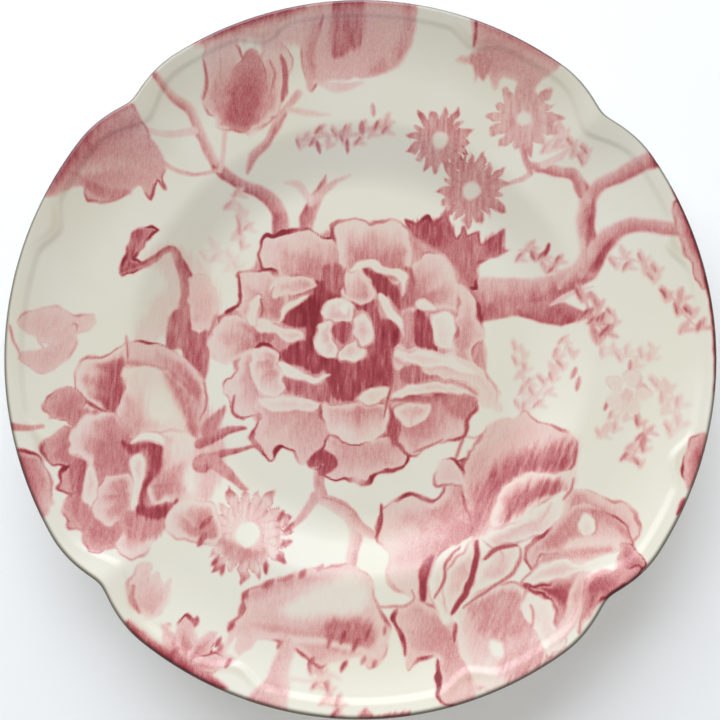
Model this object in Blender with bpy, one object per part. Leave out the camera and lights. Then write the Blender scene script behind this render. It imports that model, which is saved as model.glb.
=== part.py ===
"""A china dinner plate with a four-lobed, moulded rim. Metres, +Z up, standing on z = 0."""

import math

import bmesh
import bpy

MM = 0.001

# The outline, seen from above: four wide lobes on the X and Y axes, and a notch on each diagonal.
LOBE_REACH = 127.1 * MM
OUT_OF_ROUND = 1.35 * MM  # the lobes on Y reach this much further, those on X this much less
SHOULDER_DROP = 0.5 * MM  # how far a lobe has drawn in where its notch begins
NOTCH_DEPTH = 4.0 * MM
NOTCH_HALF_ANGLE = math.radians(11.0)
NOTCH_ROUNDING = math.radians(1.5)
LOBES = 4

# The moulded band that follows the edge. Its inner line swings inwards at brackets and notches.
BAND_HEIGHT = 0.55 * MM
BAND_WIDTH = 5.8 * MM
BAND_STEP = 2.4 * MM
BRACKET_SWING = 4.0 * MM
BRACKET_ANGLE = math.radians(19.0)  # either side of each lobe's axis
BRACKET_HALF_ANGLE = math.radians(5.5)
NOTCH_SWING = 3.2 * MM
NOTCH_SWING_HALF_ANGLE = math.radians(9.0)

# The cross-section, from the middle to the edge.
WELL_FLOOR = 7.0 * MM
# The upper surface's slope at these radii. It changes evenly from one to the next.
SLOPES = (
    (60.0 * MM, 0.0),  # the flat floor of the well ends here
    (72.0 * MM, 0.4),  # the verge rises to the shoulder
    (81.0 * MM, 0.4),
    (86.0 * MM, 0.13),
    (100.0 * MM, 0.13),
    (118.0 * MM, 0.4),  # the rim curls up to its edge
    (LOBE_REACH, 0.4),
)
VERGE_TOP = 80.0 * MM
LOBED_FROM = 86.0 * MM  # inside this radius the plate is round
LOBED_FULLY = 114.0 * MM
WALL_AT_VERGE = 4.4 * MM
WALL_AT_EDGE = 3.5 * MM
LIP_RADIUS = 1.7 * MM

# The foot ring, and the hollow that it encloses.
FOOT_OUTER = 77.0 * MM
FOOT_INNER = 71.0 * MM
FOOT_TAPER = 0.6 * MM
FOOT_WALL_TOP = 4.6 * MM
FOOT_WALL_LEAN = 0.3 * MM
FOOT_FILLET = 1.6 * MM
HOLLOW_HEIGHT = 2.8 * MM
HOLLOW_RADIUS = 67.5 * MM
HOLLOW_WALL_LEAN = 0.9 * MM
HOLLOW_FILLET = 0.5 * MM
BARE_HEIGHT = 0.8 * MM  # the ring is wiped clean of glaze below this

GLAZE = 0.3 * MM
GAP = 0.3 * MM

# Where each surface is given its rings of points. They are closest where it bends most.
UPPER_STATIONS_MM = (0, 60, 64, 68, 72, 81, 83.5, 86, 100, 106, 111)
LOWER_STATIONS_MM = (117, 109, 100, 86, 82)
LIP_TURNS = (45, 0, -50)  # degrees above the horizontal
SEGMENTS = 120


def clear_scene():
    for thing in list(bpy.data.objects):
        bpy.data.objects.remove(thing, do_unlink=True)


def smooth_step(value):
    share = min(max(value, 0.0), 1.0)
    return share * share * (3.0 - 2.0 * share)


def bump(offset, half_width):
    """1 at offset 0, falling smoothly to 0 at half_width."""
    return 1.0 - smooth_step(abs(offset) / half_width)


def angle_from_lobe(angle):
    """The signed angle to the nearest lobe's axis."""
    pitch = 2.0 * math.pi / LOBES
    return (angle + pitch / 2.0) % pitch - pitch / 2.0


def reach(angle):
    """The outline's radius in this direction."""
    radius = LOBE_REACH - OUT_OF_ROUND * math.cos(2.0 * angle)
    radius -= SHOULDER_DROP * math.sin(2.0 * angle) ** 2
    from_notch = math.pi / LOBES - abs(angle_from_lobe(angle))
    rounded = math.hypot(from_notch, NOTCH_ROUNDING)
    dip = max(0.0, 1.0 - rounded / NOTCH_HALF_ANGLE) ** 2
    deepest = (1.0 - NOTCH_ROUNDING / NOTCH_HALF_ANGLE) ** 2
    return radius - NOTCH_DEPTH * dip / deepest


def band_width(angle):
    """How far inside the edge the moulded band's inner line runs in this direction."""
    from_lobe = abs(angle_from_lobe(angle))
    from_notch = math.pi / LOBES - from_lobe
    width = BAND_WIDTH + BRACKET_SWING * bump(from_lobe - BRACKET_ANGLE, BRACKET_HALF_ANGLE)
    return width + NOTCH_SWING * bump(from_notch, NOTCH_SWING_HALF_ANGLE)


def crown(radius):
    """The height of the upper surface without its moulding."""
    height = WELL_FLOOR
    for (start, slope), (end, next_slope) in zip(SLOPES, SLOPES[1:], strict=False):
        run = min(max(radius - start, 0.0), end - start)
        height += slope * run + (next_slope - slope) * run**2 / (2.0 * (end - start))
    return height


def underneath(radius):
    """The height of the lower surface outside the foot ring."""
    share = smooth_step((radius - VERGE_TOP) / (LOBE_REACH - VERGE_TOP))
    return crown(radius) - WALL_AT_VERGE - (WALL_AT_EDGE - WALL_AT_VERGE) * share


def upper_section(angle):
    """The glazed surface from the middle to where the lip begins, as (radius, height) pairs."""
    section = [(radius * MM, crown(radius * MM)) for radius in UPPER_STATIONS_MM]
    band_line = LOBE_REACH - band_width(angle)
    for radius, share in (
        (band_line - BAND_STEP / 2.0, 0.0),
        (band_line + BAND_STEP / 2.0, 1.0),
        (LOBE_REACH - LIP_RADIUS, 1.0),
    ):
        section.append((radius, crown(radius) + BAND_HEIGHT * share))
    return section


def lip_section():
    """The rounded edge, from above to below."""
    middle = LOBE_REACH - LIP_RADIUS
    centre = crown(middle) + BAND_HEIGHT - LIP_RADIUS
    turns = [math.radians(turn) for turn in LIP_TURNS]
    return [
        (middle + LIP_RADIUS * math.cos(turn), centre + LIP_RADIUS * math.sin(turn))
        for turn in turns
    ]


def lower_section():
    """The glazed underside, from the lip in to the foot ring's outer wall."""
    section = [(radius * MM, underneath(radius * MM)) for radius in LOWER_STATIONS_MM]
    section.append((FOOT_OUTER + FOOT_FILLET, underneath(VERGE_TOP) - FOOT_FILLET / 4.0))
    section.append((FOOT_OUTER + FOOT_WALL_LEAN, FOOT_WALL_TOP))
    section.append((FOOT_OUTER, BARE_HEIGHT))
    return section


def hollow_section():
    """The glazed surface inside the foot ring, from its inner wall to the middle."""
    return [
        (FOOT_INNER, BARE_HEIGHT),
        (FOOT_INNER - HOLLOW_WALL_LEAN, HOLLOW_HEIGHT - HOLLOW_FILLET),
        (HOLLOW_RADIUS, HOLLOW_HEIGHT),
        (0.0, HOLLOW_HEIGHT),
    ]


def inset(section, depth):
    """The same section, this deep inside the piece, which lies on the right of its direction."""
    moved = []
    for i, (radius, height) in enumerate(section):
        before = section[max(i - 1, 0)]
        after = section[min(i + 1, len(section) - 1)]
        runs = [(radius - before[0], height - before[1]), (after[0] - radius, after[1] - height)]
        lengths = [math.hypot(*run) for run in runs]
        sides = [
            (run[1] / length, -run[0] / length)
            for run, length in zip(runs, lengths, strict=True)
            if length > 0.0
        ]
        side = [sum(part) / len(sides) for part in zip(*sides, strict=True)]
        stretch = depth / (side[0] ** 2 + side[1] ** 2)
        moved.append((max(radius + side[0] * stretch, 0.0), height + side[1] * stretch))
    return moved


def place(radius, height, angle):
    """A section's point turned to this angle and drawn out to the lobed outline."""
    share = smooth_step((radius - LOBED_FROM) / (LOBED_FULLY - LOBED_FROM))
    drawn = radius + (reach(angle) - LOBE_REACH) * share
    return (drawn * math.cos(angle), drawn * math.sin(angle), height)


def loft(name, section_at, colour, roughness):
    """An object swept round the Z axis through section_at(angle), which may start or end on it."""
    angles = [2.0 * math.pi * i / SEGMENTS for i in range(SEGMENTS)]
    sections = [section_at(angle) for angle in angles]
    shape = bmesh.new()
    rings = []
    for station in range(len(sections[0])):
        radius, height = sections[0][station]
        if radius == 0.0:
            rings.append([shape.verts.new((0.0, 0.0, height))] * SEGMENTS)
            continue
        rings.append(
            [
                shape.verts.new(place(*section[station], angle))
                for section, angle in zip(sections, angles, strict=True)
            ]
        )
    for inner, outer in zip(rings, rings[1:], strict=False):
        for i in range(SEGMENTS):
            after = (i + 1) % SEGMENTS
            corners = [inner[i], outer[i], outer[after], inner[after]]
            shape.faces.new(list(dict.fromkeys(corners)))
    mesh = bpy.data.meshes.new(name)
    shape.to_mesh(mesh)
    shape.free()
    mesh.shade_smooth()
    mesh.materials.append(glossy(name, colour, roughness))
    thing = bpy.data.objects.new(name, mesh)
    bpy.context.collection.objects.link(thing)
    return thing


def glossy(name, colour, roughness):
    material = bpy.data.materials.new(name)
    material.use_nodes = True
    shader = material.node_tree.nodes["Principled BSDF"]
    shader.inputs["Base Color"].default_value = colour
    shader.inputs["Roughness"].default_value = roughness
    shader.inputs["Metallic"].default_value = 0.0
    return material


def thicken(skin):
    """Gives a glaze skin its thickness, inwards from the surface that was swept."""
    coat = skin.modifiers.new("coat", "SOLIDIFY")
    coat.thickness = GLAZE
    coat.offset = -1.0
    coat.use_even_offset = True
    coat.use_rim = True


def coated_section(angle):
    return upper_section(angle) + lip_section() + lower_section()


def body_section(angle):
    """The fired clay under the glaze, with the bare foot ring."""
    outside = inset(coated_section(angle), GLAZE + GAP)
    hollow = inset(hollow_section(), GLAZE + GAP)
    foot = [
        (outside[-1][0] - FOOT_TAPER, 0.0),
        (hollow[0][0] + FOOT_TAPER, 0.0),
    ]
    return outside + foot + hollow


def make_china_body():
    return loft("china_body", body_section, (0.83, 0.79, 0.68, 1.0), 0.7)


def make_glaze_coat():
    """One coat: over the front, round the lip, and down the back to the foot ring."""
    skin = loft("glaze_coat", coated_section, (0.80, 0.62, 0.56, 1.0), 0.08)
    thicken(skin)
    return skin


def make_hollow_glaze():
    """The separate pool of glaze inside the foot ring."""
    skin = loft("hollow_glaze", lambda angle: hollow_section(), (0.82, 0.79, 0.69, 1.0), 0.1)
    thicken(skin)
    return skin


def main():
    clear_scene()
    make_china_body()
    make_glaze_coat()
    make_hollow_glaze()


main()
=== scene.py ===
"""The look of the china dinner plate: its glaze, its print, its bare foot ring, and the studio."""

import math

import bpy
import numpy as np
from mathutils import Matrix, Vector


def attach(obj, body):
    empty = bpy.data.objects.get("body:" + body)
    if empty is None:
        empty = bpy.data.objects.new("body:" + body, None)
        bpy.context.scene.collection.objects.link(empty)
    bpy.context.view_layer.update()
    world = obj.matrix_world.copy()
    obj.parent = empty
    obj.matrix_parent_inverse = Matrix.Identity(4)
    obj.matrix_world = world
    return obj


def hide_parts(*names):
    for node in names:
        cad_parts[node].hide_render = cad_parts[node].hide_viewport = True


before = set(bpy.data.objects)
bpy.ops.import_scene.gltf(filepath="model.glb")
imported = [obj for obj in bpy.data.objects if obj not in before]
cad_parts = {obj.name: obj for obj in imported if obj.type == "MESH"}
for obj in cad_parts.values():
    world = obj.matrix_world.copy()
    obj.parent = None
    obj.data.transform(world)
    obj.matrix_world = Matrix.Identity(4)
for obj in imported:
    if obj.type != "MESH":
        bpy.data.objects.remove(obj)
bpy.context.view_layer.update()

MM = 0.001

# The shape, in millimetres: the formulas that the CAD was built from, so that the skin fits it.
LOBE_REACH = 127.1
OUT_OF_ROUND = 1.35
SHOULDER_DROP = 0.5
NOTCH_DEPTH = 4.0
NOTCH_HALF_ANGLE = math.radians(11.0)
NOTCH_ROUNDING = math.radians(1.5)
LOBES = 4
BAND_HEIGHT = 0.55
BAND_WIDTH = 5.8
BAND_STEP = 2.4
BRACKET_SWING = 4.0
BRACKET_ANGLE = math.radians(19.0)
BRACKET_HALF_ANGLE = math.radians(5.5)
NOTCH_SWING = 3.2
NOTCH_SWING_HALF_ANGLE = math.radians(9.0)
WELL_FLOOR = 7.0
SLOPES = (
    (60.0, 0.0),
    (72.0, 0.4),
    (81.0, 0.4),
    (86.0, 0.13),
    (100.0, 0.13),
    (118.0, 0.4),
    (LOBE_REACH, 0.4),
)
VERGE_TOP = 80.0
LOBED_FROM = 86.0
LOBED_FULLY = 114.0
WALL_AT_VERGE = 4.4
WALL_AT_EDGE = 3.5
LIP_RADIUS = 1.7
FOOT_OUTER = 77.0
BARE_HEIGHT = 0.8
GLAZE = 0.3

# How finely the skin is meshed, with the radii of its rings underneath and on its hidden inner side.
SPACING = 0.5
RIM_SPACING = 0.4
MOST_SEGMENTS = 1380
BACK_SEGMENTS = 480
BACK_RADII = (122.0, 117.0, 112.0, 107.0, 102.0, 97.0, 93.0, 90.0, 87.0, 84.5, 82.5)
INNER_RADII = (
    *(124.0, 122.5, 120.0, 117.5, 114.0, 110.0, 105.0, 100.0, 92.0),
    *(86.0, 84.0, 81.0, 76.0, 72.0, 68.0, 64.0, 60.0, 30.0),
)
# The rings round the lip, in degrees above the horizontal, outside and on the hidden inner side.
LIP_TURNS = range(75, -51, -15)
INNER_LIP_TURNS = (60, 0, -40)
# Where the underside meets the foot ring, as (radius, how far below the verge's underside).
FOOT_FILLET = ((80.9, 0.05), (79.5, 0.35))
# The foot ring's outer wall, from its fillet down, as (radius, height).
FOOT_WALL = ((78.5, 5.6), (77.8, 5.0), (77.45, 4.2), (77.25, 3.0), (FOOT_OUTER + 0.1, 1.8))

# The edge's painted shade, partly a darker line where the glaze thins, and the ink's gathering towards it,
# in millimetres inwards from the outline.
EDGE_WIDTH = 2.0
EDGE_FADE = 1.6
INK_GATHERS = 4.0
INK_GATHERS_FADE = 3.5
# Painted shade along the outer side of the band's inner line, strongest at its brackets.
BAND_SHADE_WIDTH = 2.2
BAND_SHADE_ALONG_BAND = 0.15

# The studio, in metres and watts.
CAMERA_PLACE = Vector((-0.0008, -0.0566, 0.3753))
PICTURE_UP = Vector((-0.0268, 0.9996, 0.0))
CAMERA_LENS = 50.46
CAMERA_SHIFT = (-0.001, -0.0134)
ROOM_COLOUR = (1.0, 0.895, 0.76, 1.0)
ROOM_STRENGTH = 0.37
FLOOR_HALF_SIDE = 6.0
FLOOR_GREY = 0.94
# Each light's name, place, size, power and colour. They all face the plate's middle.
LIGHTS = (
    ("window", (-0.4, 1.35, 0.85), (2.2, 1.5), 44.0, (0.83, 0.91, 1.0)),
    ("sky", (0.15, -0.6, 1.1), (0.7, 0.7), 3.5, (0.7, 0.84, 1.0)),
)


def smooth_step(value):
    share = np.clip(value, 0.0, 1.0)
    return share * share * (3.0 - 2.0 * share)


def bump(offset, half_width):
    """1 at offset 0, falling smoothly to 0 at half_width."""
    return 1.0 - smooth_step(np.abs(offset) / half_width)


def angle_from_lobe(angle):
    """The angle to the nearest lobe's axis, without its sign."""
    pitch = 2.0 * math.pi / LOBES
    return np.abs((angle + pitch / 2.0) % pitch - pitch / 2.0)


def reach(angle):
    """The outline's radius in this direction."""
    radius = LOBE_REACH - OUT_OF_ROUND * np.cos(2.0 * angle)
    radius -= SHOULDER_DROP * np.sin(2.0 * angle) ** 2
    rounded = np.hypot(math.pi / LOBES - angle_from_lobe(angle), NOTCH_ROUNDING)
    dip = np.maximum(0.0, 1.0 - rounded / NOTCH_HALF_ANGLE) ** 2
    return radius - NOTCH_DEPTH * dip / (1.0 - NOTCH_ROUNDING / NOTCH_HALF_ANGLE) ** 2


def band_width(angle):
    """How far inside the edge the moulded band's inner line runs in this direction."""
    from_lobe = angle_from_lobe(angle)
    from_notch = math.pi / LOBES - from_lobe
    width = BAND_WIDTH + BRACKET_SWING * bump(from_lobe - BRACKET_ANGLE, BRACKET_HALF_ANGLE)
    return width + NOTCH_SWING * bump(from_notch, NOTCH_SWING_HALF_ANGLE)


def crown(radius):
    """The height of the upper surface without its moulding."""
    height = WELL_FLOOR
    for (start, slope), (end, next_slope) in zip(SLOPES, SLOPES[1:], strict=False):
        run = np.clip(radius - start, 0.0, end - start)
        height = height + slope * run + (next_slope - slope) * run**2 / (2.0 * (end - start))
    return height


def underneath(radius):
    """The height of the lower surface outside the foot ring."""
    share = smooth_step((radius - VERGE_TOP) / (LOBE_REACH - VERGE_TOP))
    return crown(radius) - WALL_AT_VERGE - (WALL_AT_EDGE - WALL_AT_VERGE) * share


def front_height(radius, angle):
    band_line = LOBE_REACH - band_width(angle)
    step = smooth_step((radius - band_line) / BAND_STEP + 0.5)
    return crown(radius) + BAND_HEIGHT * step


def placed(radius, height, angle):
    """A section's points turned to these angles and drawn out to the lobed outline."""
    share = smooth_step((radius - LOBED_FROM) / (LOBED_FULLY - LOBED_FROM))
    drawn = radius + (reach(angle) - LOBE_REACH) * share
    return np.stack([drawn * np.cos(angle), drawn * np.sin(angle), height], axis=1)


def ring(radius, height_at, segments):
    angle = np.arange(segments) * 2.0 * math.pi / segments
    heights = height_at(radius, angle) + np.zeros(segments)
    return placed(np.full(segments, radius), heights, angle)


def front_rings():
    """The upper surface, in rings as far apart as their points are, and finer near the edge."""
    rings = [ring(0.0, front_height, 1)]
    edge = LOBE_REACH - LIP_RADIUS
    radius = SPACING
    while radius < edge - 0.5 * RIM_SPACING:
        segments = min(6 * round(radius / SPACING), MOST_SEGMENTS)
        rings.append(ring(radius, front_height, segments))
        radius += SPACING if segments < MOST_SEGMENTS else RIM_SPACING
    rings.append(ring(edge, front_height, MOST_SEGMENTS))
    return rings


def lip_rings(deeper=0.0, segments=MOST_SEGMENTS, turns=LIP_TURNS):
    """The rounded edge, in rings at these turns above the horizontal, in degrees."""
    middle = LOBE_REACH - LIP_RADIUS
    centre = crown(middle) + BAND_HEIGHT - LIP_RADIUS
    size = LIP_RADIUS - deeper
    rings = []
    for turn in turns:
        across = math.cos(math.radians(turn))
        up = math.sin(math.radians(turn))
        rings.append(ring(middle + size * across, lambda r, a: centre + size * up, segments))
    return rings


def back_section():
    """The underside from the lip to the foot ring's outer wall, as (radius, height)."""
    section = [(radius, underneath(radius)) for radius in BACK_RADII]
    section += [(radius, underneath(VERGE_TOP) - drop) for radius, drop in FOOT_FILLET]
    return [*section, *FOOT_WALL, (FOOT_OUTER, BARE_HEIGHT)]


def stitched(rings):
    """Faces between neighbouring rings, whose counts of points may differ."""
    starts = np.cumsum([0] + [len(points) for points in rings])
    faces = []
    for k in range(len(rings) - 1):
        inner, outer = len(rings[k]), len(rings[k + 1])
        j = np.arange(outer)
        i = ((2 * j + 1) * inner + outer) // (2 * outer) % inner
        faces.append(np.stack([starts[k] + i, starts[k + 1] + j, starts[k + 1] + (j + 1) % outer], 1))
        if inner > 1:
            i = np.arange(inner)
            j = -((inner - (2 * i + 1) * outer) // (2 * inner)) % outer
            faces.append(np.stack([starts[k] + i, starts[k + 1] + j, starts[k] + (i + 1) % inner], 1))
    return np.concatenate(faces)


def mesh_object(name, points, faces):
    mesh = bpy.data.meshes.new(name)
    mesh.from_pydata((points * MM).tolist(), [], faces.tolist())
    mesh.shade_smooth()
    mesh.validate()
    thing = bpy.data.objects.new(name, mesh)
    bpy.context.scene.collection.objects.link(thing)
    return thing


def make_glaze():
    rings = front_rings() + lip_rings()
    front_points = sum(len(points) for points in rings)
    for radius, height in back_section():
        rings.append(ring(radius, lambda r, a: height, BACK_SEGMENTS))
    # The hidden inner side of the coat, back to the middle.
    rings.append(ring(FOOT_OUTER - GLAZE, lambda r, a: BARE_HEIGHT, BACK_SEGMENTS))
    for radius, height in reversed(back_section()[:-1]):
        shift = GLAZE if radius <= FOOT_WALL[0][0] else 0.0
        rings.append(ring(radius - shift, lambda r, a: height + GLAZE - shift, BACK_SEGMENTS))
    rings += reversed(lip_rings(GLAZE, BACK_SEGMENTS, INNER_LIP_TURNS))
    for radius in INNER_RADII:
        rings.append(ring(radius, lambda r, a: front_height(r, a) - GLAZE, BACK_SEGMENTS))
    rings.append(ring(0.0, lambda r, a: front_height(r, a) - GLAZE, 1))
    faces = stitched(rings[:-1])
    # The last ring closes on one point.
    last = sum(len(points) for points in rings[:-2])
    i = np.arange(BACK_SEGMENTS)
    tip = np.full(BACK_SEGMENTS, last + BACK_SEGMENTS)
    fan = np.stack([last + i, tip, last + (i + 1) % BACK_SEGMENTS], 1)
    points = np.concatenate(rings)
    coat = mesh_object("glaze_skin", points, np.concatenate([faces, fan]))
    return coat, points, front_points


# The print. All its places are in millimetres from the plate's middle, X to the right and Y up.
# The softness of an edge, how far shapes wander from what is drawn, and the sizes of their unevenness.
SOFT = 1.1
WOBBLE = 0.35
WOBBLE_SIZE = 3.5
FRILL_SIZE = 2.6
LINE_UNEVENNESS_SIZE = 6.0
# The engraved hatching, which stands upright at the upper left and leans by the lower right.
HATCH_WIDTH = 0.8
HATCH_LENGTH = 5.0
HATCH_LEAN = 0.4
HATCH_TURNS_OVER = 160.0
VEIN_SPACING = 4.5
TOOTH_DEPTH = 0.22
# The noise is made from layers of random numbers, each a square with this many along its side.
LATTICE_SIZE = 64
LATTICE = np.random.default_rng(7).random((8, LATTICE_SIZE, LATTICE_SIZE)) * 2.0 - 1.0


def grain(x, y, size, layer):
    """Smooth noise from -1 to 1, with features about this many millimetres across."""
    u, v = x / size, y / size
    i, j = np.floor(u).astype(int), np.floor(v).astype(int)
    s, t = smooth_step(u - i), smooth_step(v - j)
    field = LATTICE[layer]
    i, next_i = i % LATTICE_SIZE, (i + 1) % LATTICE_SIZE
    j, next_j = j % LATTICE_SIZE, (j + 1) % LATTICE_SIZE
    low = field[i, j] * (1.0 - s) + field[next_i, j] * s
    high = field[i, next_j] * (1.0 - s) + field[next_i, next_j] * s
    return low * (1.0 - t) + high * t


def flow(points, closed=False, steps=6):
    """A smooth curve through the points."""
    points = np.array(points, float)
    if closed:
        padded = np.concatenate([points[-1:], points, points[:2]])
    else:
        padded = np.concatenate([points[:1], points, points[-1:]])
    t = np.arange(steps)[:, None] / steps
    runs = []
    for a, b, c, d in zip(padded, padded[1:], padded[2:], padded[3:], strict=False):
        curve = 2.0 * b + (c - a) * t + (2.0 * a - 5.0 * b + 4.0 * c - d) * t**2
        runs.append((curve + (3.0 * b - a - 3.0 * c + d) * t**3) / 2.0)
    end = points[:1] if closed else points[-1:]
    return np.concatenate([*runs, end])


def measure(x, y, path):
    """Each point's distance from the path, its share of the way along, and its side, 1 for left."""
    start, run = path[:-1], np.diff(path, axis=0)
    dx, dy = x[:, None] - start[:, 0], y[:, None] - start[:, 1]
    along = (dx * run[:, 0] + dy * run[:, 1]) / np.maximum((run**2).sum(1), 1e-9)
    along = np.clip(along, 0.0, 1.0)
    dx -= along * run[:, 0]
    dy -= along * run[:, 1]
    apart = dx**2 + dy**2
    nearest = apart.argmin(1)
    rows = np.arange(len(x))
    turn = run[nearest, 0] * dy[rows, nearest] - run[nearest, 1] * dx[rows, nearest]
    share = (nearest + along[rows, nearest]) / len(run)
    return np.sqrt(apart[rows, nearest]), share, np.sign(turn)


def inside(x, y, path):
    """Which points the closed path goes round."""
    a, b = path[:-1], path[1:]
    crosses = (a[:, 1] <= y[:, None]) != (b[:, 1] <= y[:, None])
    rise = np.where(a[:, 1] == b[:, 1], 1.0, b[:, 1] - a[:, 1])
    at = a[:, 0] + (y[:, None] - a[:, 1]) * (b[:, 0] - a[:, 0]) / rise
    return ((x[:, None] < at) & crosses).sum(1) % 2 == 1


class Print:
    """The ink at each point of the face, from 0 where it is bare to 1 where it is deepest."""

    def __init__(self, x, y):
        self.x = x + WOBBLE * grain(x, y, WOBBLE_SIZE, 0)
        self.y = y + WOBBLE * grain(x, y, WOBBLE_SIZE, 1)
        self.ink = np.zeros(len(x))
        upright = grain(x / HATCH_WIDTH, y / HATCH_LENGTH, 1.0, 6)
        leaning = grain((x - HATCH_LEAN * y) / HATCH_WIDTH, y / HATCH_LENGTH, 1.0, 7)
        share = smooth_step((x - y) / HATCH_TURNS_OVER)
        self.hatch = upright + (leaning - upright) * share

    def near(self, path, margin):
        """The indices of the points in the path's box, widened by the margin."""
        low, high = path.min(0) - margin, path.max(0) + margin
        within = (self.x > low[0]) & (self.x < high[0]) & (self.y > low[1]) & (self.y < high[1])
        return np.flatnonzero(within)

    def lay(self, near, tone, cover):
        """Covers what is there with this tone, as far as cover goes from 0 to 1."""
        self.ink[near] += (tone - self.ink[near]) * cover

    def petal(self, outline, root, pale, dark, line=0.6, width=0.35, reach=1.2, frill=0.7, steps=6):
        """A filled shape, dark at its root and pale towards its outline, which is inked."""
        path = flow(outline, closed=True, steps=steps)
        near = self.near(path, 2.0 + frill)
        x = self.x[near] + frill * grain(self.x[near], self.y[near], FRILL_SIZE, 4)
        y = self.y[near] + frill * grain(self.x[near], self.y[near], FRILL_SIZE, 5)
        apart, _, _ = measure(x, y, path)
        signed = np.where(inside(x, y, path), apart, -apart)
        from_root = np.hypot(x - root[0], y - root[1])
        outline_from_root = np.hypot(*(path - root).T)
        rooted_inside = inside(*np.array([[root[0]], [root[1]]]), path)[0]
        nearest = 0.0 if rooted_inside else outline_from_root.min()
        outwards = (from_root - nearest) / (outline_from_root.max() - nearest)
        fan = np.arctan2(y - root[1], x - root[0])
        streak = grain(fan * 5.0 + root[0], from_root / 9.0, 1.0, 2)
        depth = (1.0 - outwards) * reach + 0.2 * streak + 0.1 * self.hatch[near]
        depth *= smooth_step(signed / 4.0 + 0.1)
        tone = pale + (dark - pale) * smooth_step(depth)
        self.lay(near, tone, smooth_step(signed / SOFT + 0.5))
        self.ink_line(near, apart, line, width)

    def ink_line(self, near, apart, line, width):
        """An engraved outline of uneven width and tone, where apart is the distance from it."""
        x, y = self.x[near], self.y[near]
        half = 1.2 * width * (1.0 + 0.8 * grain(x, y, LINE_UNEVENNESS_SIZE, 3))
        tone = line * (0.95 + 1.1 * grain(x, y, LINE_UNEVENNESS_SIZE, 4))
        cover = smooth_step((half - apart) / (0.9 * SOFT) + 0.5)
        self.ink[near] = np.maximum(self.ink[near], tone * cover)

    def patch(self, outline, tone, soft=2.0):
        """A filled shape of one tone, with a soft edge."""
        path = flow(outline, closed=True)
        near = self.near(path, soft + 1.0)
        x, y = self.x[near], self.y[near]
        apart, _, _ = measure(x, y, path)
        signed = np.where(inside(x, y, path), apart, -apart)
        cover = smooth_step(signed / soft + 0.5 + 0.25 * self.hatch[near])
        self.lay(near, tone * (1.0 + 0.2 * self.hatch[near]), cover)

    def stroke(self, points, widths, tone, shade=0.0, soft=1.0):
        """A brush stroke. Shade makes its left side darker, or its right side if below 0."""
        path = flow(points)
        near = self.near(path, max(widths) + soft)
        apart, share, side = measure(self.x[near], self.y[near], path)
        half = np.interp(share, np.linspace(0.0, 1.0, len(widths)), widths) / 2.0
        lean = np.clip(apart / half, 0.0, 1.0) * side
        mottle = 1.0 + 0.15 * grain(self.x[near], self.y[near], 4.0, 5) + 0.15 * self.hatch[near]
        cover = smooth_step((half - apart) / soft + 0.5)
        self.lay(near, np.clip((tone + shade * lean) * mottle, 0.0, 1.0), cover)

    def line(self, points, tone=0.7, width=0.4):
        """An inked line, which never lightens what is under it."""
        path = flow(points)
        near = self.near(path, 2.0)
        apart, share, _ = measure(self.x[near], self.y[near], path)
        taper = 0.4 + 0.6 * np.sin(math.pi * np.clip(share, 0.0, 1.0)) ** 0.5
        cover = smooth_step((0.8 * width * taper - apart) / SOFT + 0.5)
        self.ink[near] = np.maximum(self.ink[near], tone * cover)

    def dab(self, x, y, length, width, lean, tone, soft=1.0):
        """One touch of the brush. Lean is its angle from the X axis, in degrees."""
        half = Vector((math.cos(math.radians(lean)), math.sin(math.radians(lean)))) * length / 2.0
        points = [(x - half.x, y - half.y), (x, y), (x + half.x, y + half.y)]
        self.stroke(points, (0.5 * width, 0.9 * width, width, 0.9 * width, 0.5 * width), tone, 0.0, soft)

    def daisy(self, place, eye, spread, petals, pale, dark, turn=0.0):
        """An open flower of narrow pointed petals, its eye left bare."""
        centre = np.array([place])
        near = self.near(centre, spread * 1.3)
        x, y = self.x[near], self.y[near]
        dx = x + 0.9 * grain(x, y, FRILL_SIZE, 4) - place[0]
        dy = y + 0.9 * grain(x, y, FRILL_SIZE, 5) - place[1]
        apart = np.hypot(dx, dy)
        phase = (np.arctan2(dy, dx) + turn) * petals / (2.0 * math.pi)
        between = np.abs(phase % 1.0 - 0.5) * 2.0
        uneven = 0.12 * np.sin(np.floor(phase) * 2.4)
        edge = spread * (1.0 + uneven) * (1.0 - 0.3 * between**1.3)
        outwards = np.clip((apart - eye) / (spread - eye), 0.0, 1.0)
        ribs = between**4 * 0.9 * outwards + np.maximum(outwards - 0.72, 0.0) * 3.0
        tone = pale + (dark - pale) * ribs + 0.12 * self.hatch[near]
        self.lay(near, np.clip(tone, 0.0, 1.0), smooth_step((edge - apart) / 1.6 + 0.5))
        self.ink_line(near, np.abs(edge - apart) * 0.7, 0.8 * dark * smooth_step(outwards * 3.0), 0.15)
        self.lay(near, 0.04, smooth_step((eye - np.hypot(x - place[0], y - place[1])) / 1.8 + 0.5))

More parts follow.
